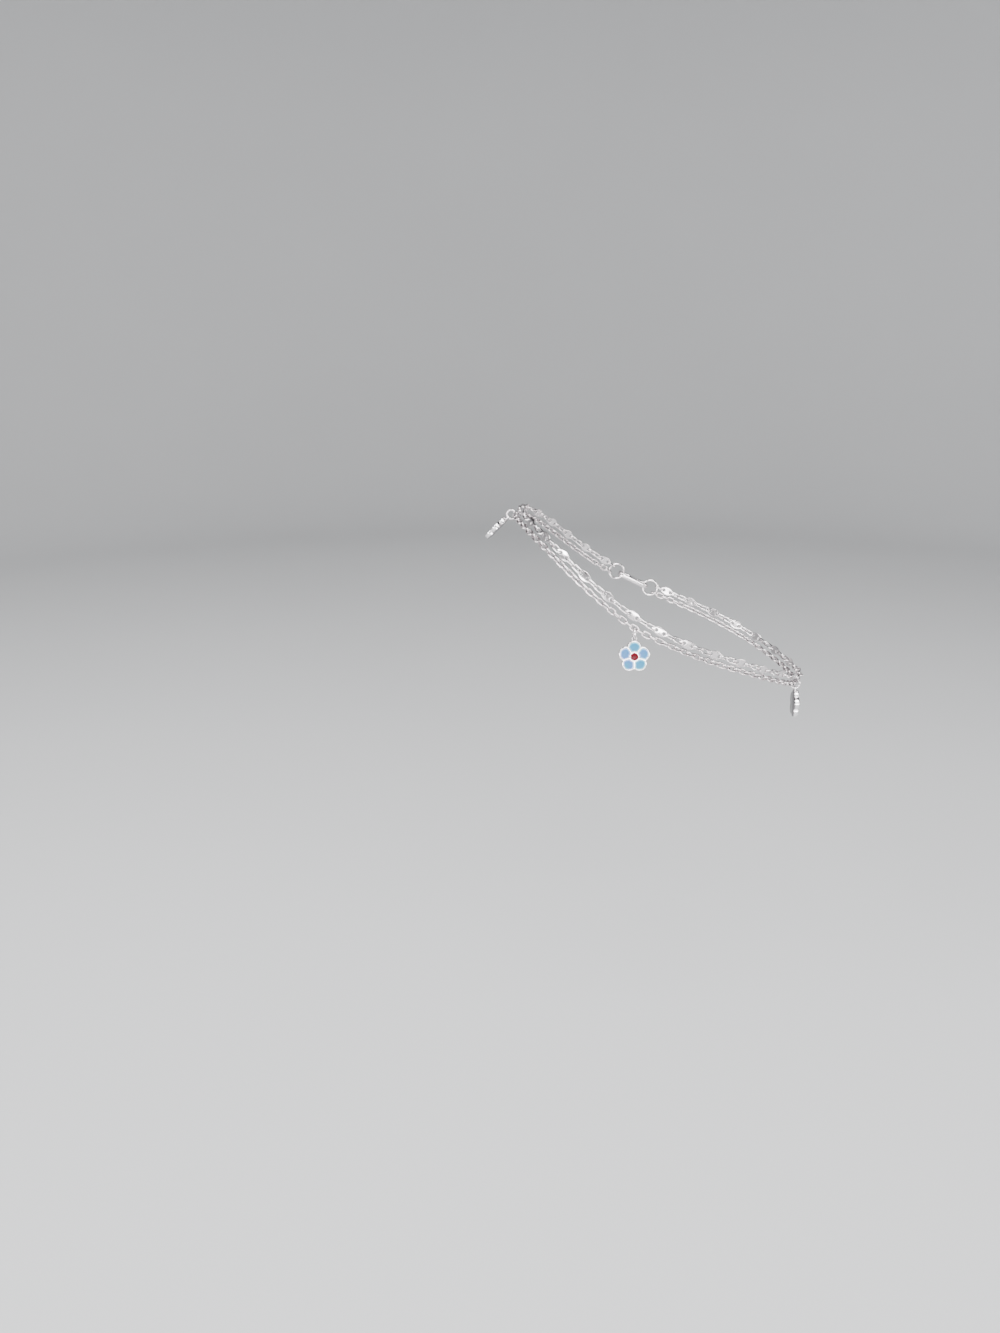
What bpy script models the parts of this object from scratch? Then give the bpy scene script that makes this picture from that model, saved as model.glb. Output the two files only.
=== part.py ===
"""Charm anklet: a strand of pierced plates and a fine cable strand on one clasp, with three flower charms.

Metres, +Z up. The origin is the middle of the hollow for the ankle. +X points to the heel, -Y to the
outer side. Distances along a strand are measured from the middle of the clasp, round the front, the
outer side and the heel.
"""

import math
from typing import NamedTuple

import bmesh
import bpy
import numpy as np
from mathutils import Matrix, Vector

# The loop that both strands follow
LOOP_DEPTH = 0.087  # front to heel, along the tilted loop
LOOP_WIDTH = 0.063  # outer side to inner side
LOOP_TILT = math.radians(30.0)  # the front rides higher than the heel
SIDE_DROOP = 0.0044  # how far each side hangs below the tilted plane
DROOP_SKEW = -0.73  # share of the droop that moves from the heel half to the front half
DROOP_POWER = 4  # how closely the droop keeps to the middle of each side
CLASP_TURN = math.radians(91.0)  # just past the middle of the inner side
ROUTE_SAMPLES = 1440
FULL_TURN = 2.0 * math.pi

# The upper strand: plates and the links between them
PLATE_LENGTH = 0.0049
PLATE_WIDTH = 0.0022
PLATE_THICKNESS = 0.0003
PLATE_HOLE = 0.00085
PLATE_HOLE_SPACING = 0.0021
PLATE_PITCH = 0.00745  # from one plate to the next, before it is fitted to the strand
PLATE_SIDE_STEPS = 6
PLATE_HOLE_SIDES = 8
LINK_WIRE = 0.00042
LINK_WIDTH = 0.00174
LINK_ROLL = math.radians(52.0)
SOLDER_DEPTH = 0.00012  # how far fused neighbours bite into each other
LINK_PLAY = 0.00015  # clearance where two links or rings stay loose

# The lower strand: a fine cable
CABLE_PITCH = 0.00167
CABLE_WIRE = 0.00046
CABLE_LINK_WIDTH = 0.00174
CABLE_THICKNESS = 0.0015
CABLE_POINT_STEP = 0.0042
STRAND_GAP = 0.00015
STRAND_SPACING = (PLATE_WIDTH + CABLE_THICKNESS) / 2.0 + STRAND_GAP
CHARM_DIP = 0.00035  # how far a charm pulls the cable down
CHARM_DIP_REACH = 0.005
SEAT_GAP = 0.0003

# Round stock
LINK_END_STEPS = 4
WIRE_SIDES = 5
RING_SIDES = 14
RING_WIRE_SIDES = 6
EYE_SIDES = 12

# The clasp and the two rings that gather the strands
END_RING_DIAMETER = 0.005
END_RING_WIRE = 0.0006
CLASP_LENGTH = 0.0098
CLASP_WIDTH = 0.0038
CLASP_THICKNESS = 0.0013
CLASP_WALL = 0.0008
CLASP_BRIDGE = 0.0018
CLASP_PLAY = 0.0003  # clearance between an end ring and the wall of the clasp

# The charms
JUMP_RING_DIAMETER = 0.0029
JUMP_RING_WIRE = 0.00056
PETAL_COUNT = 5
PETAL_REACH = 0.00205  # from the flower's middle to the middle of a petal's round end
PETAL_RADIUS = 0.00172
FLOWER_THICKNESS = 0.0013
RIM_WIDTH = 0.0003
CENTRE_RADIUS = 0.0009
CELL_DEPTH = 0.0005
ENAMEL_GAP = 0.00006
ENAMEL_CROWN = 0.00014
PETAL_ARC_STEPS = 6
CENTRE_SIDES = 10
EYE_HOLE = 0.0008
EYE_WALL = 0.00026
EYE_THICKNESS = 0.00045
EYE_LIFT = 0.0001  # the eye stands this far in from the flower's back face
EYE_OFFSET = 0.00045  # from the top petal's tip to the middle of the eye's hole


class Charm(NamedTuple):
    """Where a charm hangs: its angles are in degrees."""

    name: str
    turn: float  # place round the loop, from the heel
    ring_lean: float  # how far the jump ring swings outward from straight down
    ring_turn: float  # how far the jump ring is turned about the way it hangs
    hang_lean: float  # how far the flower swings outward from straight down
    facing: float  # direction that the flower faces, seen from above, 0 at the heel


CHARMS = (
    Charm("front", turn=174.0, ring_lean=90.0, ring_turn=0.0, hang_lean=44.0, facing=166.0),
    Charm("side", turn=258.5, ring_lean=5.0, ring_turn=0.0, hang_lean=13.0, facing=270.0),
    Charm("heel", turn=352.0, ring_lean=20.0, ring_turn=0.0, hang_lean=0.0, facing=353.0),
)

FORWARD = Vector((math.cos(LOOP_TILT), 0.0, -math.sin(LOOP_TILT)))
LOOP_AXIS = Vector((math.sin(LOOP_TILT), 0.0, math.cos(LOOP_TILT)))
SIDEWAYS = Vector((0.0, 1.0, 0.0))
DOWN = Vector((0.0, 0.0, -1.0))


def route_point(turn, drop):
    """A point of the loop at an angle from the heel, a distance below the upper strand."""
    along = math.cos(turn)
    across = math.sin(turn)
    sag = SIDE_DROOP * across**DROOP_POWER * (1.0 + DROOP_SKEW * along)
    return (
        FORWARD * (LOOP_DEPTH / 2.0 * along)
        + SIDEWAYS * (LOOP_WIDTH / 2.0 * across)
        - LOOP_AXIS * (sag + drop)
    )


class Route:
    """A strand's centre line, measured from the middle of the clasp."""

    def __init__(self, drop_at):
        turns = np.linspace(CLASP_TURN, CLASP_TURN + FULL_TURN, ROUTE_SAMPLES + 1)
        self.turns = turns
        self.points = np.array([route_point(turn, drop_at(turn)) for turn in turns])
        steps = np.linalg.norm(np.diff(self.points, axis=0), axis=1)
        self.distances = np.concatenate([[0.0], np.cumsum(steps)])
        self.length = self.distances[-1]

    def point(self, distance):
        """The point at a distance, which may run past either end."""
        place = distance % self.length
        return Vector([np.interp(place, self.distances, self.points[:, axis]) for axis in range(3)])

    def distance_at(self, turn):
        """The distance of an angle from the heel."""
        place = (turn - CLASP_TURN) % FULL_TURN + CLASP_TURN
        return float(np.interp(place, self.turns, self.distances))

    def frame(self, start, end):
        """A frame half way between two distances: X along the strand, Y up, Z outward."""
        first = self.point(start)
        last = self.point(end)
        along = (last - first).normalized()
        outward = along.cross(LOOP_AXIS).normalized()
        up = outward.cross(along)
        return placed_axes((first + last) / 2.0, along, up, outward)


def placed_axes(origin, x_axis, y_axis, z_axis):
    """A matrix that puts a shape's own axes along the given ones."""
    axes = Matrix((x_axis, y_axis, z_axis)).transposed()
    return Matrix.Translation(origin) @ axes.to_4x4()


def charm_dip(turn):
    """How far the charms pull the cable down at an angle."""
    radius = (LOOP_DEPTH + LOOP_WIDTH) / 4.0
    dip = 0.0
    for charm in CHARMS:
        away = (turn - math.radians(charm.turn) + math.pi) % FULL_TURN - math.pi
        dip += CHARM_DIP * math.exp(-((away * radius / CHARM_DIP_REACH) ** 2))
    return dip


def upper_drop(turn):
    """The upper strand is the loop itself."""
    return 0.0


def lower_drop(turn):
    """The cable hangs below the upper strand."""
    return STRAND_SPACING + charm_dip(turn)


def new_material(name, colour, roughness, metallic):
    """A plain material for one kind of piece."""
    material = bpy.data.materials.new(name)
    material.use_nodes = True
    shader = material.node_tree.nodes["Principled BSDF"]
    shader.inputs["Base Color"].default_value = (*colour, 1.0)
    shader.inputs["Roughness"].default_value = roughness
    shader.inputs["Metallic"].default_value = metallic
    material.diffuse_color = (*colour, 1.0)
    return material


def add_object(name, mesh, material, matrix=None):
    """A named piece with its own material, shaded smooth where it is round."""
    piece = bpy.data.objects.new(name, mesh)
    bpy.context.collection.objects.link(piece)
    if material is not None and not mesh.materials:
        mesh.materials.append(material)
    if matrix is not None:
        piece.matrix_world = matrix
    return piece


def finished_mesh(bm, name):
    """A closed mesh with its faces turned outward and its corners kept sharp."""
    bmesh.ops.recalc_face_normals(bm, faces=bm.faces)
    mesh = bpy.data.meshes.new(name)
    bm.to_mesh(mesh)
    bm.free()
    mesh.shade_smooth()
    mesh.set_sharp_from_angle(angle=math.radians(40.0))
    return mesh


def boolean_mesh(first, second, operation):
    """The mesh of two shapes united, or of the first cut by the second."""
    keeper = add_object("keeper", first, None)
    tool = add_object("tool", second, None)
    modifier = keeper.modifiers.new(operation.lower(), "BOOLEAN")
    modifier.operation = operation
    modifier.solver = "EXACT"
    modifier.object = tool
    evaluated = keeper.evaluated_get(bpy.context.evaluated_depsgraph_get())
    result = bpy.data.meshes.new_from_object(evaluated)
    bpy.data.objects.remove(keeper)
    bpy.data.objects.remove(tool)
    return result


def add_closed_wire(bm, matrix, path, wire, sides):
    """Round wire along a closed flat path, with a corner of its section on the inner side."""
    rings = []
    for index, centre in enumerate(path):
        ahead = path[(index + 1) % len(path)] - centre
        behind = centre - path[index - 1]
        along = (ahead.normalized() + behind.normalized()).normalized()
        inward = Vector((-along.y, along.x, 0.0))
        ring = []
        for side in range(sides):
            angle = FULL_TURN * side / sides
            offset = inward * math.cos(angle) + Vector((0.0, 0.0, math.sin(angle)))
            ring.append(bm.verts.new(matrix @ (centre + offset * (wire / 2.0))))
        rings.append(ring)
    for index, ring in enumerate(rings):
        following = rings[(index + 1) % len(rings)]
        for side in range(sides):
            beside = (side + 1) % sides
            bm.faces.new((ring[side], ring[beside], following[beside], following[side]))


def oval_path(start, end, width):
    """The centre line of an oval link between two X places, running anticlockwise."""
    radius = width / 2.0
    path = []
    for centre_x, first_angle in ((end - radius, -math.pi / 2.0), (start + radius, math.pi / 2.0)):
        for step in range(LINK_END_STEPS + 1):
            angle = first_angle + math.pi * step / LINK_END_STEPS
            path.append(Vector((centre_x + radius * math.cos(angle), radius * math.sin(angle), 0.0)))
    return path


def circle_path(radius, sides):
    """A circle of points, anticlockwise from +X."""
    angles = [FULL_TURN * step / sides for step in range(sides)]
    return [Vector((radius * math.cos(angle), radius * math.sin(angle), 0.0)) for angle in angles]


def extrude_outline(bm, matrix, outline, low, high, holes=()):
    """A flat sheet from one height to another, pierced by the outlines of its holes."""
    edges = []
    for loop in (outline, *holes):
        corners = [bm.verts.new(matrix @ Vector((point.x, point.y, low))) for point in loop]
        edges += [bm.edges.new((corners[i - 1], corners[i])) for i in range(len(corners))]
    filled = bmesh.ops.triangle_fill(bm, edges=edges, use_beauty=True, use_dissolve=False)
    floor = [item for item in filled["geom"] if isinstance(item, bmesh.types.BMFace)]
    raised = bmesh.ops.extrude_face_region(bm, geom=floor, use_keep_orig=True)
    lifted = [item for item in raised["geom"] if isinstance(item, bmesh.types.BMVert)]
    bmesh.ops.translate(bm, verts=lifted, vec=matrix.to_3x3() @ Vector((0.0, 0.0, high - low)))


def plate_outline():
    """A pointed oval, anticlockwise from its +X tip."""
    half_length = PLATE_LENGTH / 2.0
    outline = []
    for side in (1.0, -1.0):
        for step in range(PLATE_SIDE_STEPS):
            share = 1.0 - 2.0 * step / PLATE_SIDE_STEPS
            height = PLATE_WIDTH / 2.0 * math.cos(math.pi / 2.0 * share)
            outline.append(Vector((side * share * half_length, side * height, 0.0)))
    return outline


def plate_holes():
    """The two round holes that the links pass through."""
    hole = circle_path(PLATE_HOLE / 2.0, PLATE_HOLE_SIDES)
    shift = Vector((PLATE_HOLE_SPACING / 2.0, 0.0, 0.0))
    return [[point + shift for point in hole], [point - shift for point in hole]]


class Strand(NamedTuple):
    """The upper strand's places along its route."""

    start: float
    unit: float
    units: int
    plate_span: float


def plan_strand(route):
    """Fit a whole number of plates between the two end rings."""
    start = strand_start()
    room = route.length - 2.0 * start
    units = max(2, round(room / PLATE_PITCH))
    return Strand(start, room / units, units, PLATE_HOLE_SPACING + PLATE_HOLE + SOLDER_DEPTH)


def end_ring_place():
    """The distance of an end ring's middle from the middle of the clasp."""
    clasp_eye = CLASP_LENGTH / 2.0 - CLASP_WALL - END_RING_WIRE / 2.0 - CLASP_PLAY
    return clasp_eye + (END_RING_DIAMETER - END_RING_WIRE) / 2.0


def strand_start():
    """The distance at which the first link's wire passes through an end ring."""
    free_radius = END_RING_DIAMETER / 2.0 - END_RING_WIRE - LINK_PLAY - LINK_WIRE / 2.0
    height = STRAND_SPACING / 2.0
    return end_ring_place() + math.sqrt(max(free_radius**2 - height**2, 0.0))


def strand_elements(route, strand, first_unit, last_unit):
    """Each link and plate of a run of units, as two meshes of pieces that don't touch."""
    bitten = (LINK_WIRE - SOLDER_DEPTH) / 2.0
    loose = (LINK_WIRE + LINK_PLAY) / 2.0
    groups = (bmesh.new(), bmesh.new())
    element = 0
    link_span = (strand.unit - strand.plate_span) / 2.0
    for unit in range(first_unit, last_unit):
        base = strand.start + unit * strand.unit
        cuts = (base, base + link_span, base + link_span + strand.plate_span, base + strand.unit)
        for kind in range(3):
            frame = route.frame(cuts[kind], cuts[kind + 1])
            half = (route.point(cuts[kind + 1]) - route.point(cuts[kind])).length / 2.0
            target = groups[element % 2]
            element += 1
            if kind == 1:
                sheet = PLATE_THICKNESS / 2.0
                extrude_outline(target, frame, plate_outline(), -sheet, sheet, plate_holes())
                continue
            before = bitten
            after = bitten
            roll = -LINK_ROLL if kind == 0 else LINK_ROLL
            if kind == 0 and unit == 0:
                before = 0.0
                roll = math.pi / 2.0
            elif kind == 0 and unit == first_unit:
                before = loose
            if kind == 2 and unit == strand.units - 1:
                after = 0.0
                roll = math.pi / 2.0
            path = oval_path(-half - before, half + after, LINK_WIDTH - LINK_WIRE)
            turned = frame @ Matrix.Rotation(roll, 4, "X")
            add_closed_wire(target, turned, path, LINK_WIRE, WIRE_SIDES)
    return groups


def make_plate_strand(name, route, strand, first_unit, last_unit, material):
    """One half of the upper strand, its links soldered where they bear on each other."""
    groups = strand_elements(route, strand, first_unit, last_unit)
    meshes = [finished_mesh(group, name) for group in groups]
    add_object(name, boolean_mesh(meshes[0], meshes[1], "UNION"), material)


def make_cable_strand(name, route, start, end, material):
    """A stretch of the cable as one round tube."""
    curve = bpy.data.curves.new(name, "CURVE")
    curve.dimensions = "3D"
    curve.bevel_depth = CABLE_THICKNESS / 2.0
    curve.bevel_resolution = 2
    curve.use_fill_caps = True
    spline = curve.splines.new("POLY")
    steps = max(2, round((end - start) / CABLE_POINT_STEP))
    spline.points.add(steps)
    for step in range(steps + 1):
        spline.points[step].co = (*route.point(start + (end - start) * step / steps), 1.0)
    curve.materials.append(material)
    tube = bpy.data.objects.new(name, curve)
    bpy.context.collection.objects.link(tube)


def swung(facing, lean):
    """Straight down, swung towards the way a charm faces by an angle in degrees."""
    return DOWN * math.cos(math.radians(lean)) + facing * math.sin(math.radians(lean))


def make_carrier_link(charm, centre, along, side, material):
    """The cable link that a charm's jump ring passes through, one side of it turned to bear the ring."""
    bm = bmesh.new()
    reach = (CABLE_PITCH + CABLE_WIRE) / 2.0
    path = oval_path(-reach, reach, CABLE_LINK_WIDTH - CABLE_WIRE)
    add_closed_wire(bm, placed_axes(centre, along, -side, side.cross(along)), path, CABLE_WIRE, WIRE_SIDES)
    add_object(f"carrier_link_{charm.name}", finished_mesh(bm, "carrier_link"), material)


def ring_mesh(diameter, wire, sides, wire_sides):
    """A round ring in its own XY plane."""
    bm = bmesh.new()
    add_closed_wire(bm, Matrix.Identity(4), circle_path((diameter - wire) / 2.0, sides), wire, wire_sides)
    return finished_mesh(bm, "ring")


def ray_crossing(slope, drop, centre_x, radius):
    """The farther X at which the line y = slope * x - drop meets a circle centred on the X axis."""
    square = 1.0 + slope**2
    linear = centre_x + slope * drop
    constant = centre_x**2 + drop**2 - radius**2
    return (linear + math.sqrt(max(linear**2 - square * constant, 0.0))) / square


def petal_points(margin, inner_radius):
    """One petal's outline on +X: a round end between the rays to its neighbours, closed at the collar."""
    half_angle = math.pi / PETAL_COUNT
    radius = PETAL_RADIUS - 2.0 * margin
    ray_offset = margin / math.cos(half_angle)
    slope = math.tan(half_angle)
    corner_x = ray_crossing(slope, ray_offset, PETAL_REACH, radius)
    corner_y = slope * corner_x - ray_offset
    spread = math.atan2(corner_y, corner_x - PETAL_REACH)
    points = []
    for step in range(PETAL_ARC_STEPS + 1):
        angle = spread * (2.0 * step / PETAL_ARC_STEPS - 1.0)
        points.append(Vector((PETAL_REACH + radius * math.cos(angle), radius * math.sin(angle), 0.0)))
    if inner_radius is None:
        return points
    inner_x = ray_crossing(slope, ray_offset, 0.0, inner_radius)
    inner_y = slope * inner_x - ray_offset
    points.append(Vector((inner_x, inner_y, 0.0)))
    points.append(Vector((inner_x, -inner_y, 0.0)))
    return points


def petal_turn(number):
    """The turn that brings a petal from +X to its place, the first one straight up at +Y."""
    return Matrix.Rotation(math.pi / 2.0 + FULL_TURN * number / PETAL_COUNT, 4, "Z")


def flower_outline():
    """The flower's outer edge, petal by petal, with one shared corner between neighbours."""
    outline = []
    for number in range(PETAL_COUNT):
        for point in petal_points(0.0, None)[:-1]:
            outline.append(petal_turn(number) @ point)
    return outline


def flower_mesh():
    """The flower's metal: a thick five-petalled disc with sunk cells and an eye soldered at its top."""
    identity = Matrix.Identity(4)
    body = bmesh.new()
    extrude_outline(body, identity, flower_outline(), 0.0, FLOWER_THICKNESS)
    eye = bmesh.new()
    eye_centre = Vector((0.0, PETAL_REACH + PETAL_RADIUS + EYE_OFFSET, 0.0))
    rim = [eye_centre + point for point in circle_path(EYE_HOLE / 2.0 + EYE_WALL, EYE_SIDES)]
    hole = [eye_centre + point for point in circle_path(EYE_HOLE / 2.0, EYE_SIDES)]
    extrude_outline(eye, identity, rim, EYE_LIFT, EYE_LIFT + EYE_THICKNESS, [hole])
    whole = boolean_mesh(finished_mesh(body, "flower"), finished_mesh(eye, "eye"), "UNION")
    cells = bmesh.new()
    floor = FLOWER_THICKNESS - CELL_DEPTH
    above = FLOWER_THICKNESS + CELL_DEPTH
    petal = petal_points(RIM_WIDTH / 2.0, CENTRE_RADIUS + RIM_WIDTH)
    for number in range(PETAL_COUNT):
        cell = [petal_turn(number) @ point for point in petal]
        extrude_outline(cells, identity, cell, floor, above)
    extrude_outline(cells, identity, circle_path(CENTRE_RADIUS, CENTRE_SIDES), floor, above)
    return boolean_mesh(whole, finished_mesh(cells, "cells"), "DIFFERENCE")


def enamel_mesh(outline, name):
    """A fill of enamel: the outline raised from the cell's floor, with a low crown on top."""
    floor = FLOWER_THICKNESS - CELL_DEPTH + ENAMEL_GAP
    shoulder = FLOWER_THICKNESS - ENAMEL_GAP
    bm = bmesh.new()
    low = [bm.verts.new((point.x, point.y, floor)) for point in outline]
    high = [bm.verts.new((point.x, point.y, shoulder)) for point in outline]
    middle = sum(outline, Vector()) / len(outline)
    peak = bm.verts.new((middle.x, middle.y, shoulder + ENAMEL_CROWN))
    for index in range(len(outline)):
        bm.faces.new((low[index - 1], low[index], high[index], high[index - 1]))
        bm.faces.new((high[index - 1], high[index], peak))
    bm.faces.new(low[::-1])
    return finished_mesh(bm, name)


def make_charm(charm, route, shapes, materials):
    """A charm: its carrier link, jump ring, flower and enamels, hung from the cable."""
    place = route.distance_at(math.radians(charm.turn))
    along = route.frame(place - CABLE_PITCH / 2.0, place + CABLE_PITCH / 2.0).col[0].to_3d()
    centre = route.point(place)
    heading = math.radians(charm.facing)
    facing = Vector((math.cos(heading), math.sin(heading), 0.0))
    ring_hang = swung(facing, charm.ring_lean)
    side = (ring_hang - along * ring_hang.dot(along)).normalized()
    make_carrier_link(charm, centre, along, side, materials["silver"])

    opening = (CABLE_LINK_WIDTH - JUMP_RING_WIRE - LINK_PLAY) / 2.0 - CABLE_WIRE
    ring_radius = (JUMP_RING_DIAMETER - JUMP_RING_WIRE) / 2.0
    ring_centre = centre + ring_hang * (opening / ring_hang.dot(side) + ring_radius)
    down = swung(facing, charm.hang_lean)
    across = down.cross(facing).normalized()
    ring_matrix = placed_axes(ring_centre, down, across.cross(down), across)
    ring_matrix = ring_matrix @ Matrix.Rotation(math.radians(charm.ring_turn), 4, "X")
    add_object(f"jump_ring_{charm.name}", shapes["jump_ring"], materials["silver"], ring_matrix)

    eye_drop = (EYE_HOLE - JUMP_RING_WIRE - LINK_PLAY) / 2.0
    eye_centre = ring_centre + down * (ring_radius + eye_drop)
    face = across.cross(down)
    behind = face * (EYE_LIFT + EYE_THICKNESS / 2.0)
    middle = eye_centre + down * (PETAL_REACH + PETAL_RADIUS + EYE_OFFSET) - behind
    flower_matrix = placed_axes(middle, -across, -down, face)
    add_object(f"flower_{charm.name}", shapes["flower"], materials["silver"], flower_matrix)
    for number in range(PETAL_COUNT):
        name = f"petal_{charm.name}_{number + 1}"
        add_object(name, shapes["petal"], materials["blue"], flower_matrix @ petal_turn(number))
    add_object(f"centre_{charm.name}", shapes["centre"], materials["red"], flower_matrix)


def make_charms(route, materials):
    """The three charms, which share their shapes."""
    margin = RIM_WIDTH / 2.0 + ENAMEL_GAP
    petal = petal_points(margin, CENTRE_RADIUS + RIM_WIDTH + ENAMEL_GAP)
    shapes = {
        "jump_ring": ring_mesh(JUMP_RING_DIAMETER, JUMP_RING_WIRE, RING_SIDES, RING_WIRE_SIDES),
        "flower": flower_mesh(),
        "petal": enamel_mesh(petal, "petal"),
        "centre": enamel_mesh(circle_path(CENTRE_RADIUS - ENAMEL_GAP, CENTRE_SIDES), "centre"),
    }
    for charm in CHARMS:
        make_charm(charm, route, shapes, materials)


def cable_stretches(route):
    """The start and end of each stretch of cable between the end rings and the carrier links."""
    height = STRAND_SPACING / 2.0 - CABLE_THICKNESS / 2.0
    ring_edge = math.sqrt(max((END_RING_DIAMETER / 2.0) ** 2 - max(height, 0.0) ** 2, 0.0))
    ring_stop = end_ring_place() + ring_edge + SEAT_GAP
    link_stop = CABLE_PITCH / 2.0 + CABLE_WIRE + SEAT_GAP
    places = [route.distance_at(math.radians(charm.turn)) for charm in CHARMS]
    starts = [ring_stop] + [place + link_stop for place in places]
    ends = [place - link_stop for place in places] + [route.length - ring_stop]
    return list(zip(starts, ends))


def make_clasp(route, material):
    """The plain clasp and the two end rings, one through each of its openings."""
    ring = ring_mesh(END_RING_DIAMETER, END_RING_WIRE, RING_SIDES, RING_WIRE_SIDES)
    for name, place in (("front", end_ring_place()), ("heel", -end_ring_place())):
        step = END_RING_DIAMETER / 2.0
        frame = route.frame(place - step, place + step)
        frame.translation = route.point(place)
        add_object(f"end_ring_{name}", ring, material, frame)
    half = CLASP_LENGTH / 2.0
    frame = route.frame(-half, half) @ Matrix.Rotation(math.pi / 2.0, 4, "X")
    frame.translation = route.point(0.0)
    outline = oval_path(-half, half, CLASP_WIDTH)
    hole_width = CLASP_WIDTH - 2.0 * CLASP_WALL
    holes = [
        oval_path(CLASP_BRIDGE / 2.0, half - CLASP_WALL, hole_width),
        oval_path(CLASP_WALL - half, -CLASP_BRIDGE / 2.0, hole_width),
    ]
    bm = bmesh.new()
    extrude_outline(bm, Matrix.Identity(4), outline, -CLASP_THICKNESS / 2.0, CLASP_THICKNESS / 2.0, holes)
    add_object("clasp", finished_mesh(bm, "clasp"), material, frame)


def clasp_drop(turn):
    """The clasp and the end rings lie half way between the strands."""
    return STRAND_SPACING / 2.0


def clear_scene():
    """Start from an empty scene."""
    for item in list(bpy.data.objects):
        bpy.data.objects.remove(item)


def main():
    """Build every piece of the anklet."""
    clear_scene()
    materials = {
        "silver": new_material("polished_silver", (0.82, 0.80, 0.80), 0.18, 1.0),
        "blue": new_material("light_blue_enamel", (0.18, 0.47, 0.70), 0.12, 0.0),
        "red": new_material("dark_red_enamel", (0.31, 0.012, 0.03), 0.12, 0.0),
    }
    upper = Route(upper_drop)
    lower = Route(lower_drop)
    strand = plan_strand(upper)
    middle_unit = strand.units // 2
    make_plate_strand("plate_strand_front", upper, strand, 0, middle_unit, materials["silver"])
    make_plate_strand("plate_strand_heel", upper, strand, middle_unit, strand.units, materials["silver"])
    for number, (start, end) in enumerate(cable_stretches(lower), 1):
        make_cable_strand(f"cable_strand_{number}", lower, start, end, materials["silver"])
    make_charms(lower, materials)
    make_clasp(Route(clasp_drop), materials["silver"])


main()
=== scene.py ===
"""Finish for the charm anklet: fine plates and links, real cable, flower charms in enamel, clasp and stage."""

import math
import random
from typing import NamedTuple

import bpy
import numpy as np
from bpy.props import FloatProperty, FloatVectorProperty, PointerProperty
from mathutils import Matrix, Vector
from mathutils.geometry import delaunay_2d_cdt


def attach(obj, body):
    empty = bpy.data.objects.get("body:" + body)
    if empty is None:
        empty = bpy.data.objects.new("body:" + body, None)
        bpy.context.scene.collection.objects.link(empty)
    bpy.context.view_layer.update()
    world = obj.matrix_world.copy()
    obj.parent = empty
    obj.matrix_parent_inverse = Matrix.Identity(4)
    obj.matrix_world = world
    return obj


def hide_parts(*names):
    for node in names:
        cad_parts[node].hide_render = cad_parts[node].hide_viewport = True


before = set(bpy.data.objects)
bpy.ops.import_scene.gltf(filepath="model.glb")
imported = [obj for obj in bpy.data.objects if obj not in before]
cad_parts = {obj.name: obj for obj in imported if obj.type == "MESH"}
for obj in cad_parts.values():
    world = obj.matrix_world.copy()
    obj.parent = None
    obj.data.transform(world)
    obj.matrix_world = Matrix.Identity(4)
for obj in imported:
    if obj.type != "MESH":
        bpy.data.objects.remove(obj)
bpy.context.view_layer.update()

bl_info = {
    "name": "Charm Anklet Finish",
    "version": (1, 0, 0),
    "blender": (4, 5, 0),
    "location": "3D View > Sidebar > Anklet",
    "description": "Makes the fine chain, the enamelled flower charms, the clasp and a plain stage",
    "category": "Object",
}

FULL_TURN = 2.0 * math.pi
QUARTER_TURN = math.pi / 2.0
BLACK = (0.0, 0.0, 0.0, 1.0)

# The loop that both strands follow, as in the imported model
LOOP_DEPTH = 0.087
LOOP_WIDTH = 0.063
LOOP_TILT = math.radians(30.0)
SIDE_DROOP = 0.0044
DROOP_SKEW = -0.73
DROOP_POWER = 4
CLASP_TURN = math.radians(91.0)
ROUTE_SAMPLES = 1440
STRAND_SPACING = 0.0020
CHARM_DIP = 0.00035
CHARM_DIP_REACH = 0.005
PLATE_PITCH = 0.00745
SOLDER_DEPTH = 0.00012
LINK_PLAY = 0.00015
CLASP_PLAY = 0.0003  # clearance between an end ring and the wall of the clasp

FORWARD = Vector((math.cos(LOOP_TILT), 0.0, -math.sin(LOOP_TILT)))
LOOP_AXIS = Vector((math.sin(LOOP_TILT), 0.0, math.cos(LOOP_TILT)))
SIDEWAYS = Vector((0.0, 1.0, 0.0))
DOWN = Vector((0.0, 0.0, -1.0))
IN_PLACE = Matrix.Identity(4)

# How finely the shapes are made
LINK_END_STEPS = 10
LINK_SIDES = 12
RING_STEPS = 56
RING_SIDES = 16
CIRCLE_STEPS = 40
PLATE_SIDE_STEPS = 40
PLATE_HOLE_STEPS = 24
CLASP_END_STEPS = 20
CLASP_HOLE_STEPS = 14
EDGE_STEPS = 3
PETAL_COUNT = 5
PETAL_ARC_STEPS = 24
DISH_SIDES = 96
DISH_BEND_STEPS = 24
SHARP_EDGE = math.radians(40.0)
ROW_STEP = 0.866  # between the rows of an even grid of triangles, as a share of its spacing
EDGE_CLEARANCE = 0.6  # how far such a grid stays off an edge, as a share of its spacing
FILL_SCALE = 1000.0  # outlines are filled in millimetres
FILL_TOLERANCE = 1e-7

# How the chain and the charms lie
ROLL_FADE = 6  # links over which the cable turns from a fixed link to its resting lie
CABLE_REST = math.radians(45.0)
SPLIT_TURN = math.radians(130.0)  # where a jump ring's closed split lies
SHUFFLE_SEED = 7
SHADED_BACK_SHARE = 0.3  # share of a flower's thickness over which the painted shade on its back fades

DISH_FLOOR_RADIUS = 0.75
DISH_WALL_RADIUS = 1.2
DISH_WALL_TOP = 0.75


class Charm(NamedTuple):
    """Where a charm hangs: its angles are in degrees."""

    name: str
    turn: float
    ring_lean: float
    hang_lean: float
    facing: float


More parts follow.
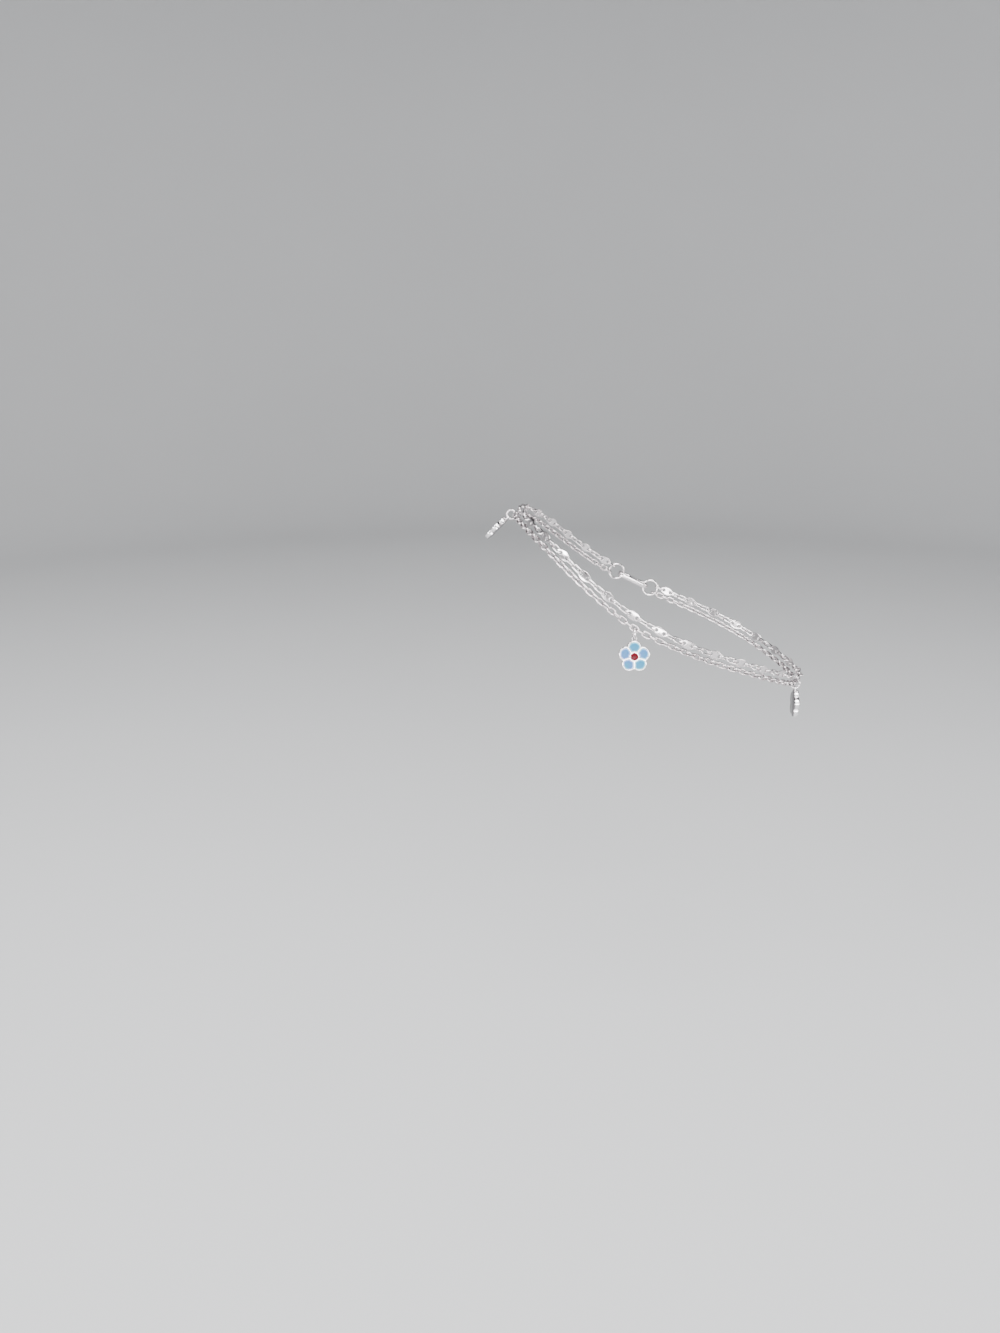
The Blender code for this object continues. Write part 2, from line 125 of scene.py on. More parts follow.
CHARMS = (
    Charm("front", turn=174.0, ring_lean=90.0, hang_lean=44.0, facing=166.0),
    Charm("side", turn=258.5, ring_lean=5.0, hang_lean=13.0, facing=270.0),
    Charm("heel", turn=352.0, ring_lean=20.0, hang_lean=0.0, facing=353.0),
)


class Lamp(NamedTuple):
    """A soft box: its place and size in metres, its power in watts, its spread in degrees and its tone."""

    name: str
    place: tuple
    width: float
    height: float
    power: float
    target: tuple = (0.0, 0.0, 0.0)
    spread: float = 180.0
    tone: tuple = (1.0, 1.0, 1.0)


LAMPS = (
    Lamp("key_lamp", (-0.55, -0.35, 0.60), 0.30, 0.30, 7.0),
    Lamp("top_lamp", (0.05, -0.42, 0.90), 0.60, 0.40, 17.0, target=(0.05, -0.40, -0.12)),
    Lamp("high_lamp", (0.15, -0.50, 0.50), 0.50, 0.30, 4.0),
    Lamp("front_lamp", (0.05, -0.78, 0.01), 0.55, 0.22, 0.9, spread=70.0),
    Lamp("left_lamp", (-0.60, -0.50, 0.01), 0.40, 0.22, 0.7, spread=70.0),
    Lamp("right_lamp", (0.66, -0.40, 0.01), 0.40, 0.22, 0.7, spread=70.0, tone=(1.0, 0.97, 0.95)),
)


def length(name, description, default):
    """A size in metres for the sidebar."""
    return FloatProperty(name=name, description=description, default=default, unit="LENGTH", precision=5)


def angle(name, description, degrees):
    """An angle for the sidebar."""
    return FloatProperty(name=name, description=description, default=math.radians(degrees), subtype="ANGLE")


def colour(name, description, default):
    """A colour for the sidebar."""
    return FloatVectorProperty(
        name=name, description=description, default=default, size=3, subtype="COLOR", min=0.0, max=1.0
    )


def share(name, description, default):
    """A share between none and all for the sidebar."""
    return FloatProperty(name=name, description=description, default=default, subtype="FACTOR", min=0.0, max=1.0)


class AnkletChainSizes(bpy.types.PropertyGroup):
    """Sizes of the two strands, the end rings and the clasp."""

    plate_length: length("Plate Length", "Tip to tip of one plate", 0.0049)
    plate_width: length("Plate Width", "Across the middle of one plate", 0.0022)
    plate_sheet: length("Plate Sheet", "Thickness of the sheet", 0.0003)
    plate_edge: length("Plate Edge", "Rounding of the plate's edges", 0.00007)
    plate_hole: length("Plate Hole", "Diameter of each hole", 0.00085)
    plate_hole_spacing: length("Hole Spacing", "Between the middles of the two holes", 0.0021)
    plate_thinning: share("Plate Thinning", "How much thinner the sheet gets towards its sides", 0.35)
    plate_dome: length("Plate Dome", "How far a plate's rim falls back from its middle", 0.00012)
    plate_play: angle("Plate Play", "How far a plate may turn about the strand", 6.0)
    link_wire: length("Link Wire", "Wire of the links between plates", 0.00042)
    link_width: length("Link Width", "Outer width of the links between plates", 0.00174)
    link_roll: angle("Link Roll", "How far the links between plates are turned about the strand", 52.0)
    cable_pitch: length("Cable Pitch", "From one cable link to the next", 0.00167)
    cable_wire: length("Cable Wire", "Wire of the cable links", 0.00046)
    cable_width: length("Cable Link Width", "Outer width of the cable links", 0.00174)
    cable_play: angle("Cable Play", "How far a cable link may turn about the strand", 7.0)
    end_ring_diameter: length("End Ring", "Outer diameter of the rings at the clasp", 0.005)
    end_ring_wire: length("End Ring Wire", "Wire of the rings at the clasp", 0.0006)
    clasp_length: length("Clasp Length", "End to end of the clasp", 0.0098)
    clasp_width: length("Clasp Width", "Across the clasp", 0.0038)
    clasp_thickness: length("Clasp Thickness", "Thickness of the clasp", 0.0013)
    clasp_wall: length("Clasp Wall", "Width of the clasp's frame", 0.0008)
    clasp_bridge: length("Clasp Bridge", "Width of the bar between the clasp's openings", 0.0018)
    clasp_edge: length("Clasp Edge", "Rounding of the clasp's edges", 0.0003)


class AnkletCharmSizes(bpy.types.PropertyGroup):
    """Sizes of the flower charms and the rings that they hang from."""

    ring_diameter: length("Jump Ring", "Outer diameter of a jump ring", 0.0029)
    ring_wire: length("Jump Ring Wire", "Wire of a jump ring", 0.00056)
    ring_split: length("Jump Ring Split", "Width of the closed split in a jump ring", 0.00003)
    petal_reach: length("Petal Reach", "From the flower's middle to the middle of a petal's end", 0.00205)
    petal_radius: length("Petal Radius", "Radius of a petal's end", 0.00172)
    flower_thickness: length("Flower Thickness", "Thickness of the flower", 0.0013)
    flower_edge: length("Flower Edge", "Rounding of the flower's outer edges", 0.00018)
    rim_width: length("Rim Width", "Width of the metal rims round the enamel", 0.0003)
    rim_edge: length("Rim Edge", "Rounding of the rims at the enamel", 0.00008)
    centre_radius: length("Centre Radius", "Radius of the flower's centre", 0.0009)
    cell_depth: length("Cell Depth", "Depth of the cells that hold the enamel", 0.0005)
    enamel_gap: length("Enamel Gap", "Gap between the enamel and its cell", 0.00001)
    enamel_level: length("Enamel Level", "How far the enamel's edge lies below the rim", 0.00009)
    petal_crown: length("Petal Crown", "Rise of a petal's enamel towards its middle", 0.00016)
    centre_crown: length("Centre Crown", "Rise of the centre's enamel towards its middle", 0.00012)
    crown_reach: length("Crown Reach", "How far in from the edge the enamel goes on rising", 0.0007)
    eye_hole: length("Eye Hole", "Diameter of the hole in the flower's eye", 0.0008)
    eye_wall: length("Eye Wall", "Width of the eye's ring", 0.00026)
    eye_thickness: length("Eye Thickness", "Thickness of the eye's ring", 0.00045)
    eye_lift: length("Eye Lift", "How far the eye stands in from the flower's back", 0.0001)
    eye_offset: length("Eye Offset", "From the top petal's tip to the middle of the eye", 0.00045)


class AnkletFinish(bpy.types.PropertyGroup):
    """Colours and polish of the metal and the enamel."""

    plate_silver: colour("Plate Silver", "Colour of the plates and rings", (0.83, 0.785, 0.795))
    # Painted shade: the cable's silver is set darker than the plates' silver.
    cable_silver: colour("Cable Silver", "Colour of the cable", (0.70, 0.65, 0.66))
    charm_silver: colour("Charm Silver", "Colour of the flowers' rims", (0.94, 0.92, 0.93))
    # Painted shade: the flowers' backs are set near black, as if in shadow.
    shaded_back_silver: colour("Silver Backs", "Colour of the flowers' dull backs", (0.06, 0.05, 0.055))
    # Painted shade: the colour that the silver is darkened to in its crevices, also used for a faint film of
    # smudges.
    tarnish: colour("Tarnish", "Colour that the silver darkens to in its crevices", (0.07, 0.055, 0.06))
    blue: colour("Blue Enamel", "Colour in the middle of a petal", (0.0, 0.115, 0.265))
    blue_edge: colour("Blue Enamel Edge", "Colour where a petal's enamel is thin", (0.18, 0.36, 0.59))
    red: colour("Red Enamel", "Colour in the middle of the flower's centre", (0.055, 0.0, 0.003))
    red_edge: colour("Red Enamel Edge", "Colour where the centre's enamel is thin", (0.08, 0.001, 0.008))
    polish: share("Polish", "Roughness of freshly polished silver", 0.1)
    enamel_gloss: share("Enamel Roughness", "Roughness of the enamel under its gloss", 0.22)


class AnkletStage(bpy.types.PropertyGroup):
    """The floor, the lights and the camera."""

    floor_height: length("Floor Height", "Height of the floor", -0.12)
    floor_colour: colour("Floor Colour", "Colour of the floor and its wall", (0.53, 0.535, 0.545))
    sky: share("Sky", "Brightness of the room away from the lamps", 0.03)
    camera_place: FloatVectorProperty(
        name="Camera Place", description="Where the camera stands", default=(-0.0428, -0.2586, 0.0628), size=3,
        subtype="TRANSLATION", unit="LENGTH",
    )
    camera_pitch: angle("Camera Pitch", "How far the camera looks down", 18.0)
    lens: FloatProperty(name="Lens", description="Focal length in millimetres", default=27.0)


# Routes


def charm_dip(turn):
    """How far the charms pull the cable down at an angle."""
    radius = (LOOP_DEPTH + LOOP_WIDTH) / 4.0
    dip = 0.0
    for charm in CHARMS:
        away = (turn - math.radians(charm.turn) + math.pi) % FULL_TURN - math.pi
        dip += CHARM_DIP * math.exp(-((away * radius / CHARM_DIP_REACH) ** 2))
    return dip


def route_point(turn, drop):
    """A point of the loop at an angle from the heel, a distance below the upper strand."""
    along = math.cos(turn)
    across = math.sin(turn)
    sag = SIDE_DROOP * across**DROOP_POWER * (1.0 + DROOP_SKEW * along)
    return (
        FORWARD * (LOOP_DEPTH / 2.0 * along)
        + SIDEWAYS * (LOOP_WIDTH / 2.0 * across)
        - LOOP_AXIS * (sag + drop)
    )


def placed_axes(origin, x_axis, y_axis, z_axis):
    """A matrix that puts a shape's own axes along the given ones."""
    axes = Matrix((x_axis, y_axis, z_axis)).transposed()
    return Matrix.Translation(origin) @ axes.to_4x4()


class Route:
    """A line along the loop below the upper strand, measured from the middle of the clasp."""

    def __init__(self, drop=0.0, dips=False):
        self.turns = np.linspace(CLASP_TURN, CLASP_TURN + FULL_TURN, ROUTE_SAMPLES + 1)
        self.points = np.array(
            [route_point(turn, drop + (charm_dip(turn) if dips else 0.0)) for turn in self.turns]
        )
        steps = np.linalg.norm(np.diff(self.points, axis=0), axis=1)
        self.distances = np.concatenate([[0.0], np.cumsum(steps)])
        self.length = self.distances[-1]

    def point(self, distance):
        """The point at a distance, which may run past either end."""
        place = distance % self.length
        return Vector([np.interp(place, self.distances, self.points[:, axis]) for axis in range(3)])

    def distance_at(self, turn):
        """The distance of an angle from the heel."""
        place = (turn - CLASP_TURN) % FULL_TURN + CLASP_TURN
        return float(np.interp(place, self.turns, self.distances))

    def frame(self, start, end, roll=0.0):
        """A frame half way between two distances: X along the strand, Y up, Z outward, turned about X."""
        first = self.point(start)
        last = self.point(end)
        along = (last - first).normalized()
        outward = along.cross(LOOP_AXIS).normalized()
        placed = placed_axes((first + last) / 2.0, along, outward.cross(along), outward)
        return placed @ Matrix.Rotation(roll, 4, "X")

    def frame_at(self, distance, reach, roll=0.0):
        """Such a frame that stands on the line itself, its X axis read over a reach to each side."""
        placed = self.frame(distance - reach, distance + reach, roll)
        placed.translation = self.point(distance)
        return placed


def cable_route():
    """The cable hangs below the upper strand, and the charms pull it down."""
    return Route(STRAND_SPACING, dips=True)


def end_ring_place(chain):
    """The distance of an end ring's middle from the middle of the clasp."""
    clasp_eye = chain.clasp_length / 2.0 - chain.clasp_wall - chain.end_ring_wire / 2.0 - CLASP_PLAY
    return clasp_eye + (chain.end_ring_diameter - chain.end_ring_wire) / 2.0


def strand_start(chain):
    """The distance at which the first link's wire passes through an end ring."""
    free_radius = chain.end_ring_diameter / 2.0 - chain.end_ring_wire - LINK_PLAY - chain.link_wire / 2.0
    height = STRAND_SPACING / 2.0
    return end_ring_place(chain) + math.sqrt(max(free_radius**2 - height**2, 0.0))


# Shapes: each is an array of points and a list of faces


def mesh_of(name, placed, depths=None):
    """One mesh of closed shapes, each with its frame, shaded smooth with its corners kept sharp."""
    points = []
    faces = []
    count = 0
    for (own_points, own_faces), matrix in placed:
        points.append(own_points @ np.array(matrix.to_3x3()).T + np.array(matrix.translation))
        faces += [tuple(corner + count for corner in face) for face in own_faces]
        count += len(own_points)
    made = bpy.data.meshes.new(name)
    made.from_pydata(np.concatenate(points).tolist(), [], faces)
    depth = made.attributes.new("depth", "FLOAT", "POINT")
    depth.data.foreach_set("value", (np.zeros(count) if depths is None else depths).astype(np.float32))
    made.shade_smooth()
    made.set_sharp_from_angle(angle=SHARP_EDGE)
    return made


def bands(rows, width, closed):
    """Quads between rows of points of one width, the last row joined to the first if closed."""
    faces = []
    for row in range(rows if closed else rows - 1):
        after = (row + 1) % rows
        for column in range(width):
            beside = (column + 1) % width
            faces.append(
                (row * width + column, row * width + beside, after * width + beside, after * width + column)
            )
    return faces


def unit_rows(rows):
    """Each row of an array scaled to a length of one."""
    return rows / np.linalg.norm(rows, axis=1)[:, None]


def wire_shape(path, wire, sides, height=None, closed=True):
    """Wire along a flat path that runs anticlockwise, with caps where it is open."""
    half_width = wire / 2.0
    half_height = half_width if height is None else height / 2.0
    if closed:
        ahead = unit_rows(np.roll(path, -1, axis=0) - path)
    else:
        ahead = unit_rows(np.diff(path, axis=0, append=2.0 * path[-1:] - path[-2:-1]))
    behind = np.roll(ahead, 1, axis=0)
    if not closed:
        behind[0] = ahead[0]
    along = unit_rows(ahead + behind)
    outward = np.stack([along[:, 1], -along[:, 0], np.zeros(len(path))], axis=1)
    angles = np.arange(sides) * FULL_TURN / sides
    centre = np.column_stack([path, np.zeros(len(path))])
    rows = (
        centre[:, None, :]
        + outward[:, None, :] * (np.cos(angles) * half_width)[None, :, None]
        + np.array([0.0, 0.0, 1.0]) * (np.sin(angles) * half_height)[None, :, None]
    )
    faces = [face[::-1] for face in bands(len(path), sides, closed)]
    if not closed:
        faces.append(tuple(range(sides)))
        faces.append(tuple((len(path) - 1) * sides + side for side in reversed(range(sides))))
    return rows.reshape(-1, 3), faces


def arc(centre, radius, first, last, steps):
    """Points along an arc from one angle to another, both ends included."""
    angles = np.linspace(first, last, steps + 1)
    return np.array(centre) + radius * np.column_stack([np.cos(angles), np.sin(angles)])


def oval_path(start, end, width, steps=LINK_END_STEPS):
    """The line of an oval between two X places, running anticlockwise."""
    radius = width / 2.0
    right = arc((end - radius, 0.0), radius, -QUARTER_TURN, QUARTER_TURN, steps)
    left = arc((start + radius, 0.0), radius, QUARTER_TURN, 3.0 * QUARTER_TURN, steps)
    return np.concatenate([right, left])


def circle_path(radius, steps=CIRCLE_STEPS):
    """A circle of points, anticlockwise from +X."""
    return arc((0.0, 0.0), radius, 0.0, FULL_TURN, steps)[:-1]


def softened(loop, spacing, passes):
    """A closed outline with evenly spaced points and its corners rounded."""
    closed = np.concatenate([loop, loop[:1]])
    run = np.concatenate([[0.0], np.cumsum(np.linalg.norm(np.diff(closed, axis=0), axis=1))])
    places = np.linspace(0.0, run[-1], max(8, round(run[-1] / spacing)), endpoint=False)
    even = np.column_stack([np.interp(places, run, closed[:, axis]) for axis in range(2)])
    for _ in range(passes):
        even = (even + (np.roll(even, 1, axis=0) + np.roll(even, -1, axis=0)) / 2.0) / 2.0
    return even


def outward_normals(loop):
    """Directions out of an anticlockwise loop, longer at its corners so that an offset keeps its width."""
    step = unit_rows(np.roll(loop, -1, axis=0) - loop)
    ahead = np.column_stack([step[:, 1], -step[:, 0]])
    mean = unit_rows(ahead + np.roll(ahead, 1, axis=0))
    return mean / np.clip((mean * ahead).sum(axis=1), 0.5, 1.0)[:, None]


def edge_distance(points, loops):
    """How far each point is from the nearest edge of some loops."""
    nearest = np.full(len(points), np.inf)
    for loop in loops:
        step = np.roll(loop, -1, axis=0) - loop
        reach = points[:, None, :] - loop[None]
        part = np.clip((reach * step).sum(axis=2) / (step**2).sum(axis=1), 0.0, 1.0)
        gap = reach - part[..., None] * step
        nearest = np.minimum(nearest, np.sqrt((gap**2).sum(axis=2)).min(axis=1))
    return nearest


def inside(points, loop):
    """Which points lie inside a closed loop."""
    x = points[:, 0, None]
    y = points[:, 1, None]
    end = np.roll(loop, -1, axis=0)
    crosses = (loop[:, 1] > y) != (end[:, 1] > y)
    rise = np.where(end[:, 1] == loop[:, 1], 1.0, end[:, 1] - loop[:, 1])
    reached = loop[:, 0] + (y - loop[:, 1]) * (end[:, 0] - loop[:, 0]) / rise
    return np.count_nonzero(crosses & (x < reached), axis=1) % 2 == 1


def on_face(points, loops):
    """Which points lie inside the first loop and outside the others."""
    kept = inside(points, loops[0])
    for hole in loops[1:]:
        kept &= ~inside(points, hole)
    return kept


def spread_points(loops, spacing):
    """Evenly spread points inside the first loop and outside the others, clear of every edge."""
    low = loops[0].min(axis=0)
    high = loops[0].max(axis=0)
    rows = []
    for number, y in enumerate(np.arange(low[1], high[1], spacing * ROW_STEP)):
        shift = spacing / 2.0 if number % 2 else 0.0
        xs = np.arange(low[0] + shift, high[0], spacing)
        rows.append(np.column_stack([xs, np.full(len(xs), y)]))
    points = np.concatenate(rows)
    points = points[on_face(points, loops)]
    return points[edge_distance(points, loops) > spacing * EDGE_CLEARANCE]


def fill(loops, spacing=None):
    """Triangles over the first loop less the others: extra points, and faces that number loops first."""
    extra = np.zeros((0, 2)) if spacing is None else spread_points(loops, spacing)
    points = np.concatenate([*loops, extra])
    edges = []
    count = 0
    for loop in loops:
        edges += [(count + i, count + (i + 1) % len(loop)) for i in range(len(loop))]
        count += len(loop)
    corners, _, triangles, sources, _, _ = delaunay_2d_cdt(
        [Vector(point) for point in points * FILL_SCALE], edges, [], 0, FILL_TOLERANCE
    )
    middles = np.array([[sum(corners[c][axis] for c in face) / 3.0 for axis in range(2)] for face in triangles])
    kept = on_face(middles / FILL_SCALE, loops)
    return extra, [tuple(sources[c][0] for c in face) for face, keep in zip(triangles, kept) if keep]


class Sheet(NamedTuple):
    """A flat piece with rounded edges: its outline, what goes through it and what is sunk in its face."""

    outline: np.ndarray
    low: float
    high: float
    edge: float
    hole_edge: float
    holes: tuple = ()
    pockets: tuple = ()
    floor: float = 0.0
    spacing: float | None = None


def edge_profile(sheet, edge, sunk):
    """How far in and how high each row of a sheet's edge lies, from the top down."""
    rounding = []
    for step in range(EDGE_STEPS + 1):
        lean = QUARTER_TURN * step / EDGE_STEPS
        rounding.append((edge * (1.0 - math.sin(lean)), sheet.high - edge * (1.0 - math.cos(lean))))
    if sunk:
        return [*rounding, (0.0, sheet.floor)]
    return rounding + [(inset, sheet.low + sheet.high - height) for inset, height in reversed(rounding)]


def sheet_shape(sheet):
    """The closed shape of a sheet."""
    points = []
    faces = []
    count = 0

    def add_row(loop, height):
        nonlocal count
        points.append(np.column_stack([loop, np.full(len(loop), height)]))
        count += len(loop)
        return count - len(loop)

    def add_cap(edges, height, flip, spacing):
        extra, triangles = fill([loop for loop, _ in edges], spacing)
        first = add_row(extra, height)
        numbers = [number for loop, row in edges for number in range(row, row + len(loop))]
        numbers += range(first, first + len(extra))
        for face in triangles:
            faces.append(tuple(numbers[corner] for corner in (face[::-1] if flip else face)))

    tops = []
    bottoms = []
    kinds = [("outer", sheet.outline)]
    kinds += [("hole", hole) for hole in sheet.holes]
    kinds += [("pocket", pocket) for pocket in sheet.pockets]
    for kind, loop in kinds:
        outer = kind == "outer"
        inward = -outward_normals(loop) if outer else outward_normals(loop)
        profile = edge_profile(sheet, sheet.edge if outer else sheet.hole_edge, kind == "pocket")
        rows = [add_row(loop + inward * inset, height) for inset, height in profile]
        for upper, lower in zip(rows, rows[1:]):
            for i in range(len(loop)):
                j = (i + 1) % len(loop)
                face = (upper + i, lower + i, lower + j, upper + j)
                faces.append(face if outer else face[::-1])
        tops.append((loop + inward * profile[0][0], rows[0]))
        if kind == "pocket":
            add_cap([(loop, rows[-1])], sheet.floor, False, None)
        else:
            bottoms.append((loop + inward * profile[-1][0], rows[-1]))
    add_cap(tops, sheet.high, False, sheet.spacing)
    add_cap(bottoms, sheet.low, True, sheet.spacing)
    return np.concatenate(points), faces


# Pieces


def linked(name, data):
    """A new object in the scene."""
    made = bpy.data.objects.new(name, data)
    bpy.context.scene.collection.objects.link(made)
    return made


def add_piece(name, mesh, material, nodes, matrix=None):
    """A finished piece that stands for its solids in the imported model."""
    piece = linked(name, mesh)
    if not mesh.materials:
        mesh.materials.append(material)
    if matrix is not None:
        piece.matrix_world = matrix
    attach(piece, "root")
    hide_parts(*nodes)
    return piece


def fused(first, second, name):
    """The mesh of two closed meshes united."""
    keeper = linked("keeper", first)
    tool = linked("tool", second)
    union = keeper.modifiers.new("union", "BOOLEAN")
    union.operation = "UNION"
    union.solver = "EXACT"
    union.object = tool
    evaluated = keeper.evaluated_get(bpy.context.evaluated_depsgraph_get())
    made = bpy.data.meshes.new_from_object(evaluated)
    made.name = name
    made.set_sharp_from_angle(angle=SHARP_EDGE)
    for item in (keeper, tool):
        bpy.data.objects.remove(item)
    return made


def plate_shape(chain):
    """One plate, a pointed oval that thins towards its long sides and is slightly domed outward."""
    half_length = chain.plate_length / 2.0
    half_width = chain.plate_width / 2.0
    steps = np.linspace(1.0, -1.0, PLATE_SIDE_STEPS, endpoint=False)
    side = np.column_stack([steps * half_length, half_width * np.cos(QUARTER_TURN * steps)])
    hole = circle_path(chain.plate_hole / 2.0, PLATE_HOLE_STEPS)
    shift = np.array([chain.plate_hole_spacing / 2.0, 0.0])
    points, faces = sheet_shape(
        Sheet(
            outline=softened(np.concatenate([side, -side]), chain.plate_width / 14.0, passes=2),
            holes=(hole + shift, hole - shift),
            low=-chain.plate_sheet / 2.0,
            high=chain.plate_sheet / 2.0,
            edge=chain.plate_edge,
            hole_edge=chain.plate_edge,
            spacing=chain.plate_width / 8.0,
        )
    )
    off_middle = points[:, 1] / half_width
    off_centre = points[:, 0] / half_length
    points[:, 2] *= 1.0 - chain.plate_thinning * off_middle**2
    points[:, 2] -= chain.plate_dome * ((off_centre**2 + off_middle**2) / 2.0 - 0.25)
    return points, faces


class PlateStrand:
    """The upper strand: a whole number of plates between the two end rings."""

    def __init__(self, chain):
        self.route = Route()
        self.start = strand_start(chain)
        room = self.route.length - 2.0 * self.start
        self.units = max(2, round(room / PLATE_PITCH))
        self.unit = room / self.units
        self.plate_span = chain.plate_hole_spacing + chain.plate_hole + SOLDER_DEPTH

    def add(self, kind, material, placed_at):
        """Both halves of the strand's plates or links; placed_at gives a unit's shapes with their frames."""
        middle = self.units // 2
        for half, numbers in (("front", range(middle)), ("heel", range(middle, self.units))):
            name = f"{kind}_{half}"
            placed = [item for number in numbers for item in placed_at(number)]
            add_piece(name, mesh_of(name, placed), material, [f"plate_strand_{half}"])


def make_plates(chain, material):
    """The plates of the upper strand."""
    strand = PlateStrand(chain)
    reach = strand.plate_span / 2.0
    shape = plate_shape(chain)
    shuffle = random.Random(SHUFFLE_SEED)

    def plates(number):
        middle = strand.start + (number + 0.5) * strand.unit
        roll = shuffle.uniform(-chain.plate_play, chain.plate_play)
        yield shape, strand.route.frame(middle - reach, middle + reach, roll)

    strand.add("plates", material, plates)


def make_plate_links(chain, material):
    """The links between the plates, each in touch with its neighbours."""
    strand = PlateStrand(chain)
    link_span = (strand.unit - strand.plate_span) / 2.0
    at_link = chain.link_wire / 2.0
    at_plate = (chain.link_wire + SOLDER_DEPTH) / 2.0

    def link(start, before, end, after, roll):
        reach = (strand.route.point(end) - strand.route.point(start)).length / 2.0
        path = oval_path(-reach - before, reach + after, chain.link_width - chain.link_wire)
        return wire_shape(path, chain.link_wire, LINK_SIDES), strand.route.frame(start, end, roll)

    def links(number):
        base = strand.start + number * strand.unit
        far = base + strand.unit
        before, first_roll = (0.0, QUARTER_TURN) if number == 0 else (at_link, -chain.link_roll)
        after, last_roll = (0.0, QUARTER_TURN) if number == strand.units - 1 else (at_link, chain.link_roll)
        yield link(base, before, base + link_span, at_plate, first_roll)
        yield link(far - link_span, at_plate, far, after, last_roll)

    strand.add("plate_links", material, links)


def cable_link_shape(chain, pitch):
    """One cable link, as long as its pitch needs."""
    reach = (pitch + chain.cable_wire) / 2.0
    path = oval_path(-reach, reach, chain.cable_width - chain.cable_wire)
    return wire_shape(path, chain.cable_wire, LINK_SIDES)


def swung(facing, lean):
    """Straight down, swung towards the way a charm faces by an angle in degrees."""
    return DOWN * math.cos(math.radians(lean)) + facing * math.sin(math.radians(lean))


class Hanging(NamedTuple):
    """Where one charm's parts are: frames for its link, ring and flower, and its place on the cable."""

    name: str
    place: float
    link_roll: float
    link: Matrix
    ring: Matrix
    flower: Matrix


def hang(charm, route, chain, sizes):
    """Hang a charm from the cable."""
    place = route.distance_at(math.radians(charm.turn))
    strand_frame = route.frame(place - chain.cable_pitch / 2.0, place + chain.cable_pitch / 2.0)
    along, upward, outward = (strand_frame.col[axis].to_3d() for axis in range(3))
    centre = route.point(place)
    heading = math.radians(charm.facing)
    facing = Vector((math.cos(heading), math.sin(heading), 0.0))
    ring_hang = swung(facing, charm.ring_lean)
    side = (ring_hang - along * ring_hang.dot(along)).normalized()
    link_roll = math.atan2(-side.dot(outward), -side.dot(upward))

    opening = (chain.cable_width - sizes.ring_wire - LINK_PLAY) / 2.0 - chain.cable_wire
    ring_radius = (sizes.ring_diameter - sizes.ring_wire) / 2.0
    ring_centre = centre + ring_hang * (opening / ring_hang.dot(side) + ring_radius)
    down = swung(facing, charm.hang_lean)
    across = down.cross(facing).normalized()
    face = across.cross(down)

    eye_drop = (sizes.eye_hole - sizes.ring_wire - LINK_PLAY) / 2.0
    eye_centre = ring_centre + down * (ring_radius + eye_drop)
    behind = face * (sizes.eye_lift + sizes.eye_thickness / 2.0)
    middle = eye_centre + down * (sizes.petal_reach + sizes.petal_radius + sizes.eye_offset) - behind
    return Hanging(
        charm.name,
        place,
        link_roll,
        placed_axes(centre, along, -side, side.cross(along)),
        placed_axes(ring_centre, down, face, across),
        placed_axes(middle, -across, -down, face),
    )


def hangings(context):
    """The three charms in their places."""
    scene = context.scene
    route = cable_route()
    return [hang(charm, route, scene.anklet_chain, scene.anklet_charms) for charm in CHARMS]


class Stop(NamedTuple):
    """Where a stretch of cable ends: at a charm's link, or free at an end ring."""

    place: float
    roll: float
    free: bool


def nearest_turn(turn, target, step):
    """The angle, moved by whole steps to lie nearest the target."""
    return turn + step * round((target - turn) / step)


def make_cable(context, material):
    """The cable's links, turned alternately, in four stretches."""
    chain = context.scene.anklet_chain
    route = cable_route()
    shuffle = random.Random(SHUFFLE_SEED + 1)
    ring_stop = strand_start(chain)
    stops = [Stop(ring_stop, QUARTER_TURN, True)]
    stops += [Stop(item.place, item.link_roll, False) for item in hangings(context)]
    stops.append(Stop(route.length - ring_stop, QUARTER_TURN, True))
    for number, (start, end) in enumerate(zip(stops, stops[1:]), 1):
        free_ends = start.free + end.free
        room = end.place - start.place - free_ends * chain.cable_wire / 2.0
        count = round(room / chain.cable_pitch - free_ends / 2.0)
        pitch = room / (count + free_ends / 2.0)
        base = start.place + ((chain.cable_wire + pitch) / 2.0 if start.free else 0.0)
        rest = nearest_turn(CABLE_REST, start.roll, QUARTER_TURN)
        last = nearest_turn(end.roll - QUARTER_TURN * count, rest, math.pi)
        shape = cable_link_shape(chain, pitch)
        placed = []
        for index in range(0 if start.free else 1, count + 1 if end.free else count):
            to_start = min(1.0, index / ROLL_FADE)
            to_end = min(1.0, (count - index) / ROLL_FADE)
            lie = start.roll + (rest - start.roll) * to_start + (last - rest) * (1.0 - to_end)
            loose = shuffle.uniform(-chain.cable_play, chain.cable_play) * min(to_start, to_end)
            middle = base + index * pitch
            roll = QUARTER_TURN * index + lie + loose
            placed.append((shape, route.frame(middle - pitch / 2.0, middle + pitch / 2.0, roll)))
        name = f"cable_links_{number}"
        add_piece(name, mesh_of(name, placed), material, [f"cable_strand_{number}"])


def make_hanging_links(context, material):
    """The three cable links that the charms hang from."""
    chain = context.scene.anklet_chain
    shape = cable_link_shape(chain, chain.cable_pitch)
    for item in hangings(context):
        name = f"hanging_link_{item.name}"
        mesh = mesh_of(name, [(shape, item.link)])
        add_piece(name, mesh, material, [f"carrier_link_{item.name}"])


def make_hanging_rings(context, material):
    """The three jump rings, each with its closed split towards the top."""
    sizes = context.scene.anklet_charms
    radius = (sizes.ring_diameter - sizes.ring_wire) / 2.0
    half_split = sizes.ring_split / 2.0 / radius
    path = arc((0.0, 0.0), radius, SPLIT_TURN + half_split, SPLIT_TURN + FULL_TURN - half_split, RING_STEPS)
    shape = wire_shape(path, sizes.ring_wire, RING_SIDES, closed=False)
    mesh = mesh_of("hanging_ring", [(shape, IN_PLACE)])
    for item in hangings(context):
        name = f"hanging_ring_{item.name}"
        add_piece(name, mesh, material, [f"jump_ring_{item.name}"], item.ring)


